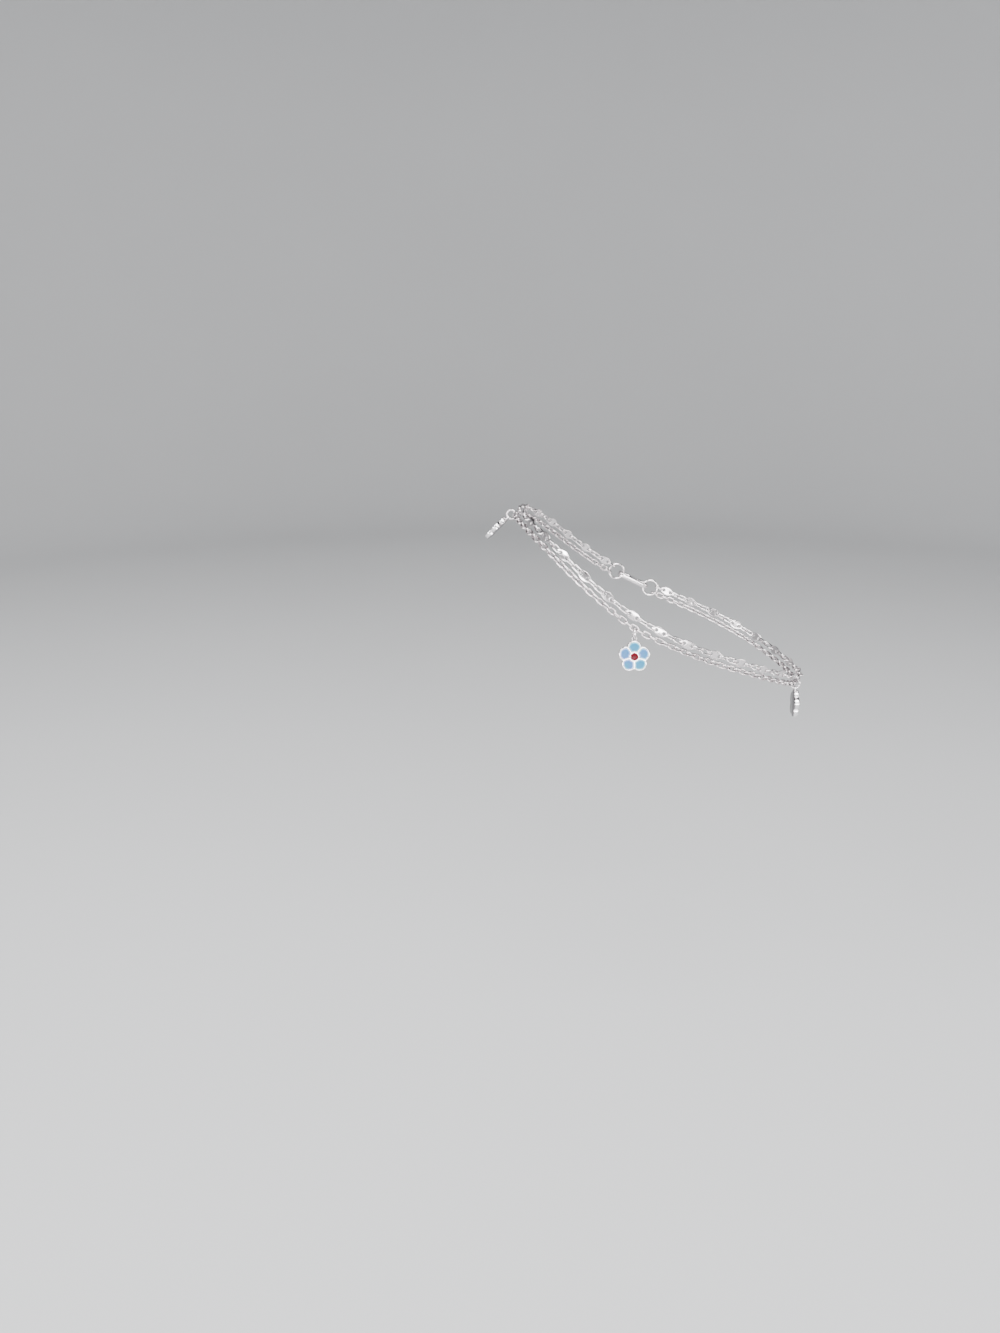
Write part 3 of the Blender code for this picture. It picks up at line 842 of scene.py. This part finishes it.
def ray_crossing(slope, drop, centre_x, radius):
    """The farther X at which the line y = slope * x - drop meets a circle centred on the X axis."""
    square = 1.0 + slope**2
    linear = centre_x + slope * drop
    constant = centre_x**2 + drop**2 - radius**2
    return (linear + math.sqrt(max(linear**2 - square * constant, 0.0))) / square


def petal_outline(sizes, margin, inner_radius=None):
    """One petal on +X: a round end between the rays to its neighbours, closed at the collar."""
    half_angle = math.pi / PETAL_COUNT
    radius = sizes.petal_radius - 2.0 * margin
    drop = margin / math.cos(half_angle)
    slope = math.tan(half_angle)
    corner_x = ray_crossing(slope, drop, sizes.petal_reach, radius)
    spread = math.atan2(slope * corner_x - drop, corner_x - sizes.petal_reach)
    end = arc((sizes.petal_reach, 0.0), radius, -spread, spread, PETAL_ARC_STEPS)
    if inner_radius is None:
        return end
    inner_x = ray_crossing(slope, drop, 0.0, inner_radius)
    inner_spread = math.atan2(slope * inner_x - drop, inner_x)
    return np.concatenate([end, arc((0.0, 0.0), inner_radius, inner_spread, -inner_spread, PETAL_ARC_STEPS // 2)])


def round_petals(loop):
    """A petal's outline turned to each of the five places, the first one straight up at +Y."""
    for number in range(PETAL_COUNT):
        turn = QUARTER_TURN + FULL_TURN * number / PETAL_COUNT
        yield loop @ np.array([[math.cos(turn), math.sin(turn)], [-math.sin(turn), math.cos(turn)]])


def cell_outlines(sizes):
    """The openings of the petals' cells, their corners rounded."""
    sharp = petal_outline(sizes, sizes.rim_width / 2.0, sizes.centre_radius + sizes.rim_width)
    return list(round_petals(softened(sharp, sizes.rim_width / 4.0, passes=10)))


def flower_mesh(sizes):
    """The flower's metal: a five-petalled disc with sunk cells and an eye soldered at its top."""
    outline = np.concatenate(list(round_petals(petal_outline(sizes, 0.0)[:-1])))
    disc = sheet_shape(
        Sheet(
            outline=softened(outline, sizes.rim_width / 4.0, passes=3),
            pockets=(*cell_outlines(sizes), circle_path(sizes.centre_radius)),
            low=0.0,
            high=sizes.flower_thickness,
            floor=sizes.flower_thickness - sizes.cell_depth,
            edge=sizes.flower_edge,
            hole_edge=sizes.rim_edge,
        )
    )
    eye_radius = (sizes.eye_hole + sizes.eye_wall) / 2.0
    eye = wire_shape(circle_path(eye_radius), sizes.eye_wall, RING_SIDES, sizes.eye_thickness)
    eye_top = sizes.petal_reach + sizes.petal_radius + sizes.eye_offset
    eye_place = Matrix.Translation((0.0, eye_top, sizes.eye_lift + sizes.eye_thickness / 2.0))
    body = mesh_of("flower_body", [(disc, IN_PLACE)])
    return fused(body, mesh_of("flower_eye", [(eye, eye_place)]), "flower_metal")


def make_flowers(context, material):
    """The metal of the three flowers."""
    mesh = flower_mesh(context.scene.anklet_charms)
    for item in hangings(context):
        name = f"flower_metal_{item.name}"
        add_piece(name, mesh, material, [f"flower_{item.name}"], item.flower)


def enamel_mesh(opening, crown, sizes, name):
    """A fill of enamel in a cell, with a soft crown, that knows how far each of its points is from the edge."""
    outline = opening - outward_normals(opening) * sizes.enamel_gap
    extra, top_faces = fill([outline], sizes.rim_width / 2.5)
    _, floor_faces = fill([outline])
    size = len(outline)
    low = sizes.flower_thickness - sizes.cell_depth + sizes.enamel_gap
    shoulder = sizes.flower_thickness - sizes.enamel_level
    part = np.clip(edge_distance(extra, [outline]) / sizes.crown_reach, 0.0, 1.0)
    top = shoulder + crown * (1.0 - (1.0 - part) ** 2)
    heights = np.concatenate([np.full(size, low), np.full(size, shoulder), top])
    points = np.column_stack([np.concatenate([outline, outline, extra]), heights])
    faces = [face[::-1] for face in floor_faces] + bands(2, size, closed=False)
    faces += [tuple(corner + size for corner in face) for face in top_faces]
    return mesh_of(name, [((points, faces), IN_PLACE)], np.concatenate([np.zeros(2 * size), part]))


def make_enamels(context, blue, red):
    """The blue petals and the red centres of the three flowers."""
    sizes = context.scene.anklet_charms
    petals = [enamel_mesh(cell, sizes.petal_crown, sizes, "petal_enamel") for cell in cell_outlines(sizes)]
    centre = enamel_mesh(circle_path(sizes.centre_radius), sizes.centre_crown, sizes, "centre_enamel")
    for item in hangings(context):
        for number, mesh in enumerate(petals, 1):
            place = f"{item.name}_{number}"
            add_piece(f"petal_enamel_{place}", mesh, blue, [f"petal_{place}"], item.flower)
        name = f"centre_enamel_{item.name}"
        add_piece(name, centre, red, [f"centre_{item.name}"], item.flower)


def make_clasp(context, material):
    """The clasp and the two rings that gather the strands, half way between the strands."""
    chain = context.scene.anklet_chain
    route = Route(STRAND_SPACING / 2.0)
    ring = circle_path((chain.end_ring_diameter - chain.end_ring_wire) / 2.0, RING_STEPS)
    ring_shape = wire_shape(ring, chain.end_ring_wire, RING_SIDES)
    ring_mesh = mesh_of("gathering_ring", [(ring_shape, IN_PLACE)])
    place = end_ring_place(chain)
    for name, distance in (("front", place), ("heel", -place)):
        matrix = route.frame_at(distance, chain.end_ring_diameter / 2.0)
        add_piece(f"gathering_ring_{name}", ring_mesh, material, [f"end_ring_{name}"], matrix)

    half = chain.clasp_length / 2.0
    opening = chain.clasp_width - 2.0 * chain.clasp_wall
    body = sheet_shape(
        Sheet(
            outline=oval_path(-half, half, chain.clasp_width, CLASP_END_STEPS),
            holes=(
                oval_path(chain.clasp_bridge / 2.0, half - chain.clasp_wall, opening, CLASP_HOLE_STEPS),
                oval_path(chain.clasp_wall - half, -chain.clasp_bridge / 2.0, opening, CLASP_HOLE_STEPS),
            ),
            low=-chain.clasp_thickness / 2.0,
            high=chain.clasp_thickness / 2.0,
            edge=chain.clasp_edge,
            hole_edge=chain.clasp_edge,
        )
    )
    matrix = route.frame_at(0.0, half, QUARTER_TURN)
    mesh = mesh_of("clasp_body", [(body, IN_PLACE)])
    add_piece("clasp_body", mesh, material, ["clasp"], matrix)


# Finishes


class Wiring:
    """Adds nodes to a tree and joins them."""

    def __init__(self, tree):
        self.tree = tree

    def put(self, socket, value):
        """Set a socket to a value, or join it to the output given for it."""
        if isinstance(value, bpy.types.NodeSocket):
            self.tree.links.new(value, socket)
        else:
            socket.default_value = value

    def feed(self, node, **sockets):
        """Set or join a node's sockets by name, with _ for a space."""
        for name, value in sockets.items():
            self.put(node.inputs[name.replace("_", " ")], value)
        return node

    def node(self, kind, **settings):
        """A node of a kind: names in small letters are its own settings, the others its sockets."""
        made = self.tree.nodes.new(f"ShaderNode{kind}")
        for name in filter(str.islower, settings):
            setattr(made, name, settings[name])
        return self.feed(made, **{name: value for name, value in settings.items() if not name.islower()})

    def object_place(self):
        """The place of a point in its object's own frame."""
        return self.node("TexCoord").outputs["Object"]

    def noise(self, place, scale, detail, roughness, distortion=0.0):
        """Soft clouds between 0 and 1."""
        return self.node(
            "TexNoise", Vector=place, Scale=scale, Detail=detail, Roughness=roughness, Distortion=distortion
        ).outputs["Fac"]

    def mapped(self, value, low, high, to_low=0.0, to_high=1.0, **settings):
        """A value moved from one range to another and kept inside it."""
        return self.node(
            "MapRange", clamp=True, Value=value, From_Min=low, From_Max=high, To_Min=to_low, To_Max=to_high,
            **settings,
        ).outputs["Result"]

    def sum_of(self, operation, first, second):
        """The result of a sum or product of two values."""
        made = self.node("Math", operation=operation)
        self.put(made.inputs[0], first)
        self.put(made.inputs[1], second)
        return made.outputs[0]

    def mixed(self, factor, first, second):
        """Two colours mixed by a factor."""
        made = self.node("Mix", data_type="RGBA")
        for socket, value in ((0, factor), (6, first), (7, second)):
            self.put(made.inputs[socket], value)
        return made.outputs[2]

    def group(self, make, **sockets):
        """A node of a shared group, which is made the first time it is asked for."""
        name = make.__name__.replace("_", " ").title()
        made = self.node("Group", node_tree=bpy.data.node_groups.get(name) or make(name))
        return self.feed(made, **sockets)


def new_group(name, **sockets):
    """An empty node group with its inputs by name, with _ for a space, and its outputs under the name gives."""
    tree = bpy.data.node_groups.new(name, "ShaderNodeTree")
    gives = sockets.pop("gives")
    for way, values in (("INPUT", sockets), ("OUTPUT", gives)):
        for socket, value in values.items():
            kind = "NodeSocketColor" if isinstance(value, tuple) else "NodeSocketFloat"
            made = tree.interface.new_socket(name=socket.replace("_", " "), in_out=way, socket_type=kind)
            made.default_value = value
    return Wiring(tree), tree.nodes.new("NodeGroupInput").outputs, tree.nodes.new("NodeGroupOutput")


def handling_marks(name):
    """Fine scratches, soft smudges and small dents that handling leaves on metal and enamel."""
    wiring, given, result = new_group(
        name, Smudge_Scale=700.0, Scratch_Scale=5000.0, Scratch_Stretch=0.12, Low_Roughness=0.1,
        High_Roughness=0.3, gives={"Smudge": 0.0, "Roughness": 0.0, "Height": 0.0},
    )
    place = wiring.object_place()
    stretch = wiring.node("CombineXYZ", X=given["Scratch Stretch"], Y=1.0, Z=0.6)
    scaled = wiring.node("VectorMath", operation="MULTIPLY")
    wiring.put(scaled.inputs[0], place)
    wiring.put(scaled.inputs[1], stretch.outputs[0])
    smudge = wiring.noise(place, given["Smudge Scale"], 3.0, 0.6)
    scratch = wiring.noise(scaled.outputs[0], given["Scratch Scale"], 4.0, 0.7, distortion=0.4)
    dents = wiring.node("TexVoronoi", feature="SMOOTH_F1", Vector=place, Scale=1800.0, Smoothness=0.7)
    smudge_mask = wiring.mapped(smudge, 0.35, 0.68)
    scratch_mask = wiring.mapped(scratch, 0.56, 0.72)
    wear = wiring.sum_of("MAXIMUM", wiring.sum_of("MULTIPLY", smudge_mask, 0.7), scratch_mask)
    lowered = wiring.sum_of("MULTIPLY", scratch_mask, -0.5)
    wiring.feed(
        result,
        Smudge=smudge_mask,
        Roughness=wiring.mapped(wear, 0.0, 1.0, given["Low Roughness"], given["High Roughness"]),
        Height=wiring.sum_of("ADD", lowered, dents.outputs["Distance"]),
    )
    return wiring.tree


def crevice_shade_and_smudge(name):
    """Silver mixed towards a darkening colour by painted shade in its crevices and by a faint film where it is
    smudged.
    """
    wiring, given, result = new_group(
        name, Silver=(0.9, 0.86, 0.86, 1.0), Tarnish=(0.2, 0.16, 0.16, 1.0), Smudge=0.0, Reach=0.0006, Depth=0.8,
        gives={"Colour": BLACK},
    )
    # Painted shade: the silver darkens where ambient occlusion finds a crevice; smudges add a faint film of the
    # same colour.
    hollow = wiring.node("AmbientOcclusion", samples=8, Distance=given["Reach"]).outputs["AO"]
    crevice = wiring.sum_of("MULTIPLY", wiring.mapped(hollow, 0.75, 0.15), given["Depth"])
    film = wiring.sum_of("MULTIPLY", given["Smudge"], 0.10)
    dark = wiring.sum_of("MAXIMUM", crevice, film)
    wiring.feed(result, Colour=wiring.mixed(dark, given["Silver"], given["Tarnish"]))
    return wiring.tree


def enamel_depth(name):
    """Enamel that pales where it is thin at its edge, with soft clouds of neighbouring tints."""
    wiring, given, result = new_group(
        name, Body=(0.12, 0.45, 0.7, 1.0), Edge=(0.6, 0.7, 0.8, 1.0), Tint_One=(0.5, 0.42, 0.72, 1.0),
        Tint_Two=(0.35, 0.72, 0.6, 1.0), Tint=0.3, Edge_Width=0.6, gives={"Colour": BLACK},
    )
    place = wiring.object_place()
    depth = wiring.node("Attribute", attribute_name="depth", attribute_type="GEOMETRY").outputs["Fac"]
    cloud = wiring.noise(place, 900.0, 2.0, 0.5)
    hue = wiring.noise(place, 420.0, 1.0, 0.5)
    wander = wiring.sum_of("MULTIPLY", wiring.sum_of("SUBTRACT", cloud, 0.5), 0.35)
    thickness = wiring.sum_of("ADD", depth, wander)
    full = wiring.mapped(thickness, 0.0, given["Edge Width"], interpolation_type="SMOOTHSTEP")
    body = wiring.mixed(full, given["Edge"], given["Body"])
    tint = wiring.mixed(wiring.mapped(hue, 0.42, 0.58), given["Tint One"], given["Tint Two"])
    thin = wiring.sum_of("SUBTRACT", 1.0, full)
    amount = wiring.sum_of("MULTIPLY", wiring.sum_of("ADD", thin, 0.25), given["Tint"])
    wiring.feed(result, Colour=wiring.mixed(amount, body, tint))
    return wiring.tree


def finished(name, tone, build):
    """A material, wired up the first time it is asked for, with a plain colour for the viewport."""
    made = bpy.data.materials.get(name)
    if made is None:
        made = bpy.data.materials.new(name)
        made.use_nodes = True
        made.diffuse_color = (*tone, 1.0)
        wiring = Wiring(made.node_tree)
        wiring.feed(made.node_tree.nodes["Principled BSDF"], **build(wiring))
    return made


def handled(wiring, strength, low, high, **sockets):
    """The handling marks of a surface, and what they make of its shader's roughness and normal."""
    marks = wiring.group(handling_marks, Low_Roughness=low, High_Roughness=high, **sockets).outputs
    bump = wiring.node("Bump", Strength=strength, Distance=0.00002, Height=marks["Height"])
    return marks["Smudge"], {"Roughness": marks["Roughness"], "Normal": bump.outputs["Normal"]}


def silver_material(name, tone, finish, polish, tarnish_depth, shaded_back_height=None):
    """Polished silver with handling marks, painted shade in its crevices and, where it has one, a back darkened
    by painted shade.
    """

    def build(wiring):
        smudge, shader = handled(wiring, 0.25, polish, polish + 0.2)
        body = (*tone, 1.0)
        # Painted shade: the flower's back is mixed towards a near black colour.
        if shaded_back_height is not None:
            place = wiring.node("SeparateXYZ", Vector=wiring.object_place())
            back = wiring.mapped(place.outputs["Z"], 0.0, shaded_back_height, 1.0, 0.0)
            body = wiring.mixed(back, body, (*finish.shaded_back_silver, 1.0))
        # Painted shade in the crevices, and a faint smudge film, come from this group.
        silver = wiring.group(
            crevice_shade_and_smudge, Silver=body, Tarnish=(*finish.tarnish, 1.0), Smudge=smudge, Depth=tarnish_depth
        )
        return {"Base_Color": silver.outputs["Colour"], "Metallic": 1.0, **shader}

    return finished(name, tone, build)


def enamel_material(name, body, edge, tints, tint_share, edge_width, gloss):
    """Glossy enamel over a softly clouded colour."""

    def build(wiring):
        _, shader = handled(wiring, 0.12, gloss, gloss + 0.16, Smudge_Scale=500.0)
        depth = wiring.group(
            enamel_depth, Body=(*body, 1.0), Edge=(*edge, 1.0), Tint_One=(*tints[0], 1.0),
            Tint_Two=(*tints[1], 1.0), Tint=tint_share, Edge_Width=edge_width,
        )
        coat = {"Specular_IOR_Level": 0.1, "Coat_Weight": 0.04, "Coat_Roughness": 0.05}
        return {"Base_Color": depth.outputs["Colour"], **shader, **coat}

    return finished(name, body, build)


def plate_silver(context):
    """The silver of the plates, rings and clasp, lighter than the cable's copy of it."""
    finish = context.scene.anklet_finish
    return silver_material("bright_silver", finish.plate_silver, finish, finish.polish, 0.85)


def cable_silver(context):
    """The cable's silver: a copy of the plates' silver made darker as painted shade, and a little rougher."""
    finish = context.scene.anklet_finish
    return silver_material("shaded_soft_silver", finish.cable_silver, finish, finish.polish + 0.06, 0.95)


def charm_silver(context):
    """The white, fresh plating of the flowers, with painted shade on their backs."""
    finish = context.scene.anklet_finish
    shaded_back_height = context.scene.anklet_charms.flower_thickness * SHADED_BACK_SHARE
    return silver_material("white_plating", finish.charm_silver, finish, finish.polish, 0.5, shaded_back_height)


def blue_enamel(context):
    """The petals' light blue, with clouds of lilac and green."""
    finish = context.scene.anklet_finish
    tints = ((0.45, 0.38, 0.75), (0.22, 0.62, 0.56))
    return enamel_material(
        "light_blue_enamel", finish.blue, finish.blue_edge, tints, 0.4, 0.6, finish.enamel_gloss
    )


def red_enamel(context):
    """The centres' dark red."""
    finish = context.scene.anklet_finish
    tints = ((0.36, 0.01, 0.06), (0.34, 0.03, 0.02))
    return enamel_material("dark_red_enamel", finish.red, finish.red_edge, tints, 0.2, 0.5, finish.enamel_gloss)


def pale_card(context):
    """Matt pale card for the floor and its wall."""
    tone = Vector(context.scene.anklet_stage.floor_colour)

    def build(wiring):
        cloud = wiring.noise(wiring.object_place(), 3.0, 4.0, 0.55)
        mixed = wiring.mixed(wiring.mapped(cloud, 0.3, 0.7), (*(tone * 0.96), 1.0), (*tone, 1.0))
        return {"Base_Color": mixed, "Roughness": 0.75}

    return finished("pale_card", tone, build)


# Stage


def add_lamp(lamp):
    """A soft box that shines at its target."""
    light = bpy.data.lights.new(lamp.name, "AREA")
    light.shape = "RECTANGLE"
    light.size = lamp.width
    light.size_y = lamp.height
    light.energy = lamp.power
    light.spread = math.radians(lamp.spread)
    light.color = lamp.tone
    look = Vector(lamp.target) - Vector(lamp.place)
    turned = look.to_track_quat("-Z", "Y").to_matrix().to_4x4()
    linked(lamp.name, light).matrix_world = Matrix.Translation(lamp.place) @ turned


def add_dish(stage, material):
    """A pale round floor that curves up into a low wall on every side."""
    floor = stage.floor_height
    bend = DISH_WALL_RADIUS - DISH_FLOOR_RADIUS
    turn = np.linspace(0.0, QUARTER_TURN, DISH_BEND_STEPS + 1)
    radii = [*(DISH_FLOOR_RADIUS + bend * np.sin(turn)), DISH_WALL_RADIUS]
    heights = [*(floor + bend - bend * np.cos(turn)), DISH_WALL_TOP]
    around = np.linspace(0.0, FULL_TURN, DISH_SIDES, endpoint=False)
    points = [
        (radius * math.cos(heading), radius * math.sin(heading), height)
        for radius, height in zip(radii, heights)
        for heading in around
    ]
    faces = [tuple(range(DISH_SIDES)), *(face[::-1] for face in bands(len(radii), DISH_SIDES, closed=False))]
    mesh = bpy.data.meshes.new("stage_dish")
    mesh.from_pydata(points, [], faces)
    mesh.shade_smooth()
    mesh.materials.append(material)
    dish = linked("stage_dish", mesh)


def add_camera(stage):
    """A camera at the height and angle of the photograph."""
    camera = bpy.data.cameras.new("camera")
    camera.sensor_width = 36.0
    camera.lens = stage.lens
    camera.clip_start = 0.01
    holder = linked("camera", camera)
    holder.location = stage.camera_place
    holder.rotation_euler = (QUARTER_TURN - stage.camera_pitch, 0.0, 0.0)
    bpy.context.scene.camera = holder


def add_room_light(strength):
    """Even, faint light from the room."""
    world = bpy.data.worlds.new("room")
    world.use_nodes = True
    background = world.node_tree.nodes["Background"]
    background.inputs["Color"].default_value = (strength, strength, strength * 1.03, 1.0)
    background.inputs["Strength"].default_value = 1.0
    bpy.context.scene.world = world


# Operators


class AnkletOperator:
    """What the anklet's operators share."""

    bl_options = {"REGISTER", "UNDO"}

    @classmethod
    def poll(cls, context):
        return context.scene is not None


class ANKLET_OT_plates(AnkletOperator, bpy.types.Operator):
    """Make the pierced plates of the upper strand"""

    bl_idname = "anklet.plates"
    bl_label = "Plates"

    def execute(self, context):
        make_plates(context.scene.anklet_chain, plate_silver(context))
        return {"FINISHED"}


class ANKLET_OT_plate_links(AnkletOperator, bpy.types.Operator):
    """Make the links between the plates"""

    bl_idname = "anklet.plate_links"
    bl_label = "Plate Links"

    def execute(self, context):
        make_plate_links(context.scene.anklet_chain, plate_silver(context))
        return {"FINISHED"}


class ANKLET_OT_cable(AnkletOperator, bpy.types.Operator):
    """Make the cable's links in their four stretches"""

    bl_idname = "anklet.cable"
    bl_label = "Cable"

    def execute(self, context):
        make_cable(context, cable_silver(context))
        return {"FINISHED"}


class ANKLET_OT_hanging_links(AnkletOperator, bpy.types.Operator):
    """Make the cable links and the jump rings that the charms hang from"""

    bl_idname = "anklet.hanging_links"
    bl_label = "Hanging Links and Rings"

    def execute(self, context):
        make_hanging_links(context, cable_silver(context))
        make_hanging_rings(context, plate_silver(context))
        return {"FINISHED"}


class ANKLET_OT_flowers(AnkletOperator, bpy.types.Operator):
    """Make the metal of the flower charms"""

    bl_idname = "anklet.flowers"
    bl_label = "Flowers"

    def execute(self, context):
        make_flowers(context, charm_silver(context))
        return {"FINISHED"}


class ANKLET_OT_enamels(AnkletOperator, bpy.types.Operator):
    """Fill the flowers with blue and red enamel"""

    bl_idname = "anklet.enamels"
    bl_label = "Enamels"

    def execute(self, context):
        make_enamels(context, blue_enamel(context), red_enamel(context))
        return {"FINISHED"}


class ANKLET_OT_clasp(AnkletOperator, bpy.types.Operator):
    """Make the clasp and the rings that gather the strands"""

    bl_idname = "anklet.clasp"
    bl_label = "Clasp and End Rings"

    def execute(self, context):
        make_clasp(context, plate_silver(context))
        return {"FINISHED"}


class ANKLET_OT_stage(AnkletOperator, bpy.types.Operator):
    """Set up the floor, the lamps and the camera"""

    bl_idname = "anklet.stage"
    bl_label = "Stage"

    def execute(self, context):
        stage = context.scene.anklet_stage
        add_camera(stage)
        add_dish(stage, pale_card(context))
        add_room_light(stage.sky)
        for lamp in LAMPS:
            add_lamp(lamp)
        return {"FINISHED"}


class ANKLET_PT_finish(bpy.types.Panel):
    """The anklet's pieces and their sizes"""

    bl_label = "Charm Anklet"
    bl_idname = "ANKLET_PT_finish"
    bl_space_type = "VIEW_3D"
    bl_region_type = "UI"
    bl_category = "Anklet"

    def draw(self, context):
        for operator in OPERATORS:
            self.layout.operator(operator.bl_idname)
        for group in PROPERTY_GROUPS.values():
            box = self.layout.box()
            settings = getattr(context.scene, group)
            for name in settings.bl_rna.properties.keys():
                if name not in {"rna_type", "name"}:
                    box.prop(settings, name)


PROPERTY_GROUPS = {
    AnkletChainSizes: "anklet_chain",
    AnkletCharmSizes: "anklet_charms",
    AnkletFinish: "anklet_finish",
    AnkletStage: "anklet_stage",
}
OPERATORS = (
    ANKLET_OT_plates,
    ANKLET_OT_plate_links,
    ANKLET_OT_cable,
    ANKLET_OT_hanging_links,
    ANKLET_OT_flowers,
    ANKLET_OT_enamels,
    ANKLET_OT_clasp,
    ANKLET_OT_stage,
)


def register():
    """Make the sizes, the operators and the panel known."""
    for group, name in PROPERTY_GROUPS.items():
        bpy.utils.register_class(group)
        setattr(bpy.types.Scene, name, PointerProperty(type=group))
    for entry in (*OPERATORS, ANKLET_PT_finish):
        bpy.utils.register_class(entry)


def unregister():
    """Take everything out again."""
    for entry in reversed((*OPERATORS, ANKLET_PT_finish)):
        bpy.utils.unregister_class(entry)
    for group, name in PROPERTY_GROUPS.items():
        delattr(bpy.types.Scene, name)
        bpy.utils.unregister_class(group)


def main():
    """Make every piece in order."""
    register()
    bpy.ops.anklet.plates()
    bpy.ops.anklet.plate_links()
    bpy.ops.anklet.cable()
    bpy.ops.anklet.hanging_links()
    bpy.ops.anklet.flowers()
    bpy.ops.anklet.enamels()
    bpy.ops.anklet.clasp()
    bpy.ops.anklet.stage()


if __name__ == "__main__":
    main()
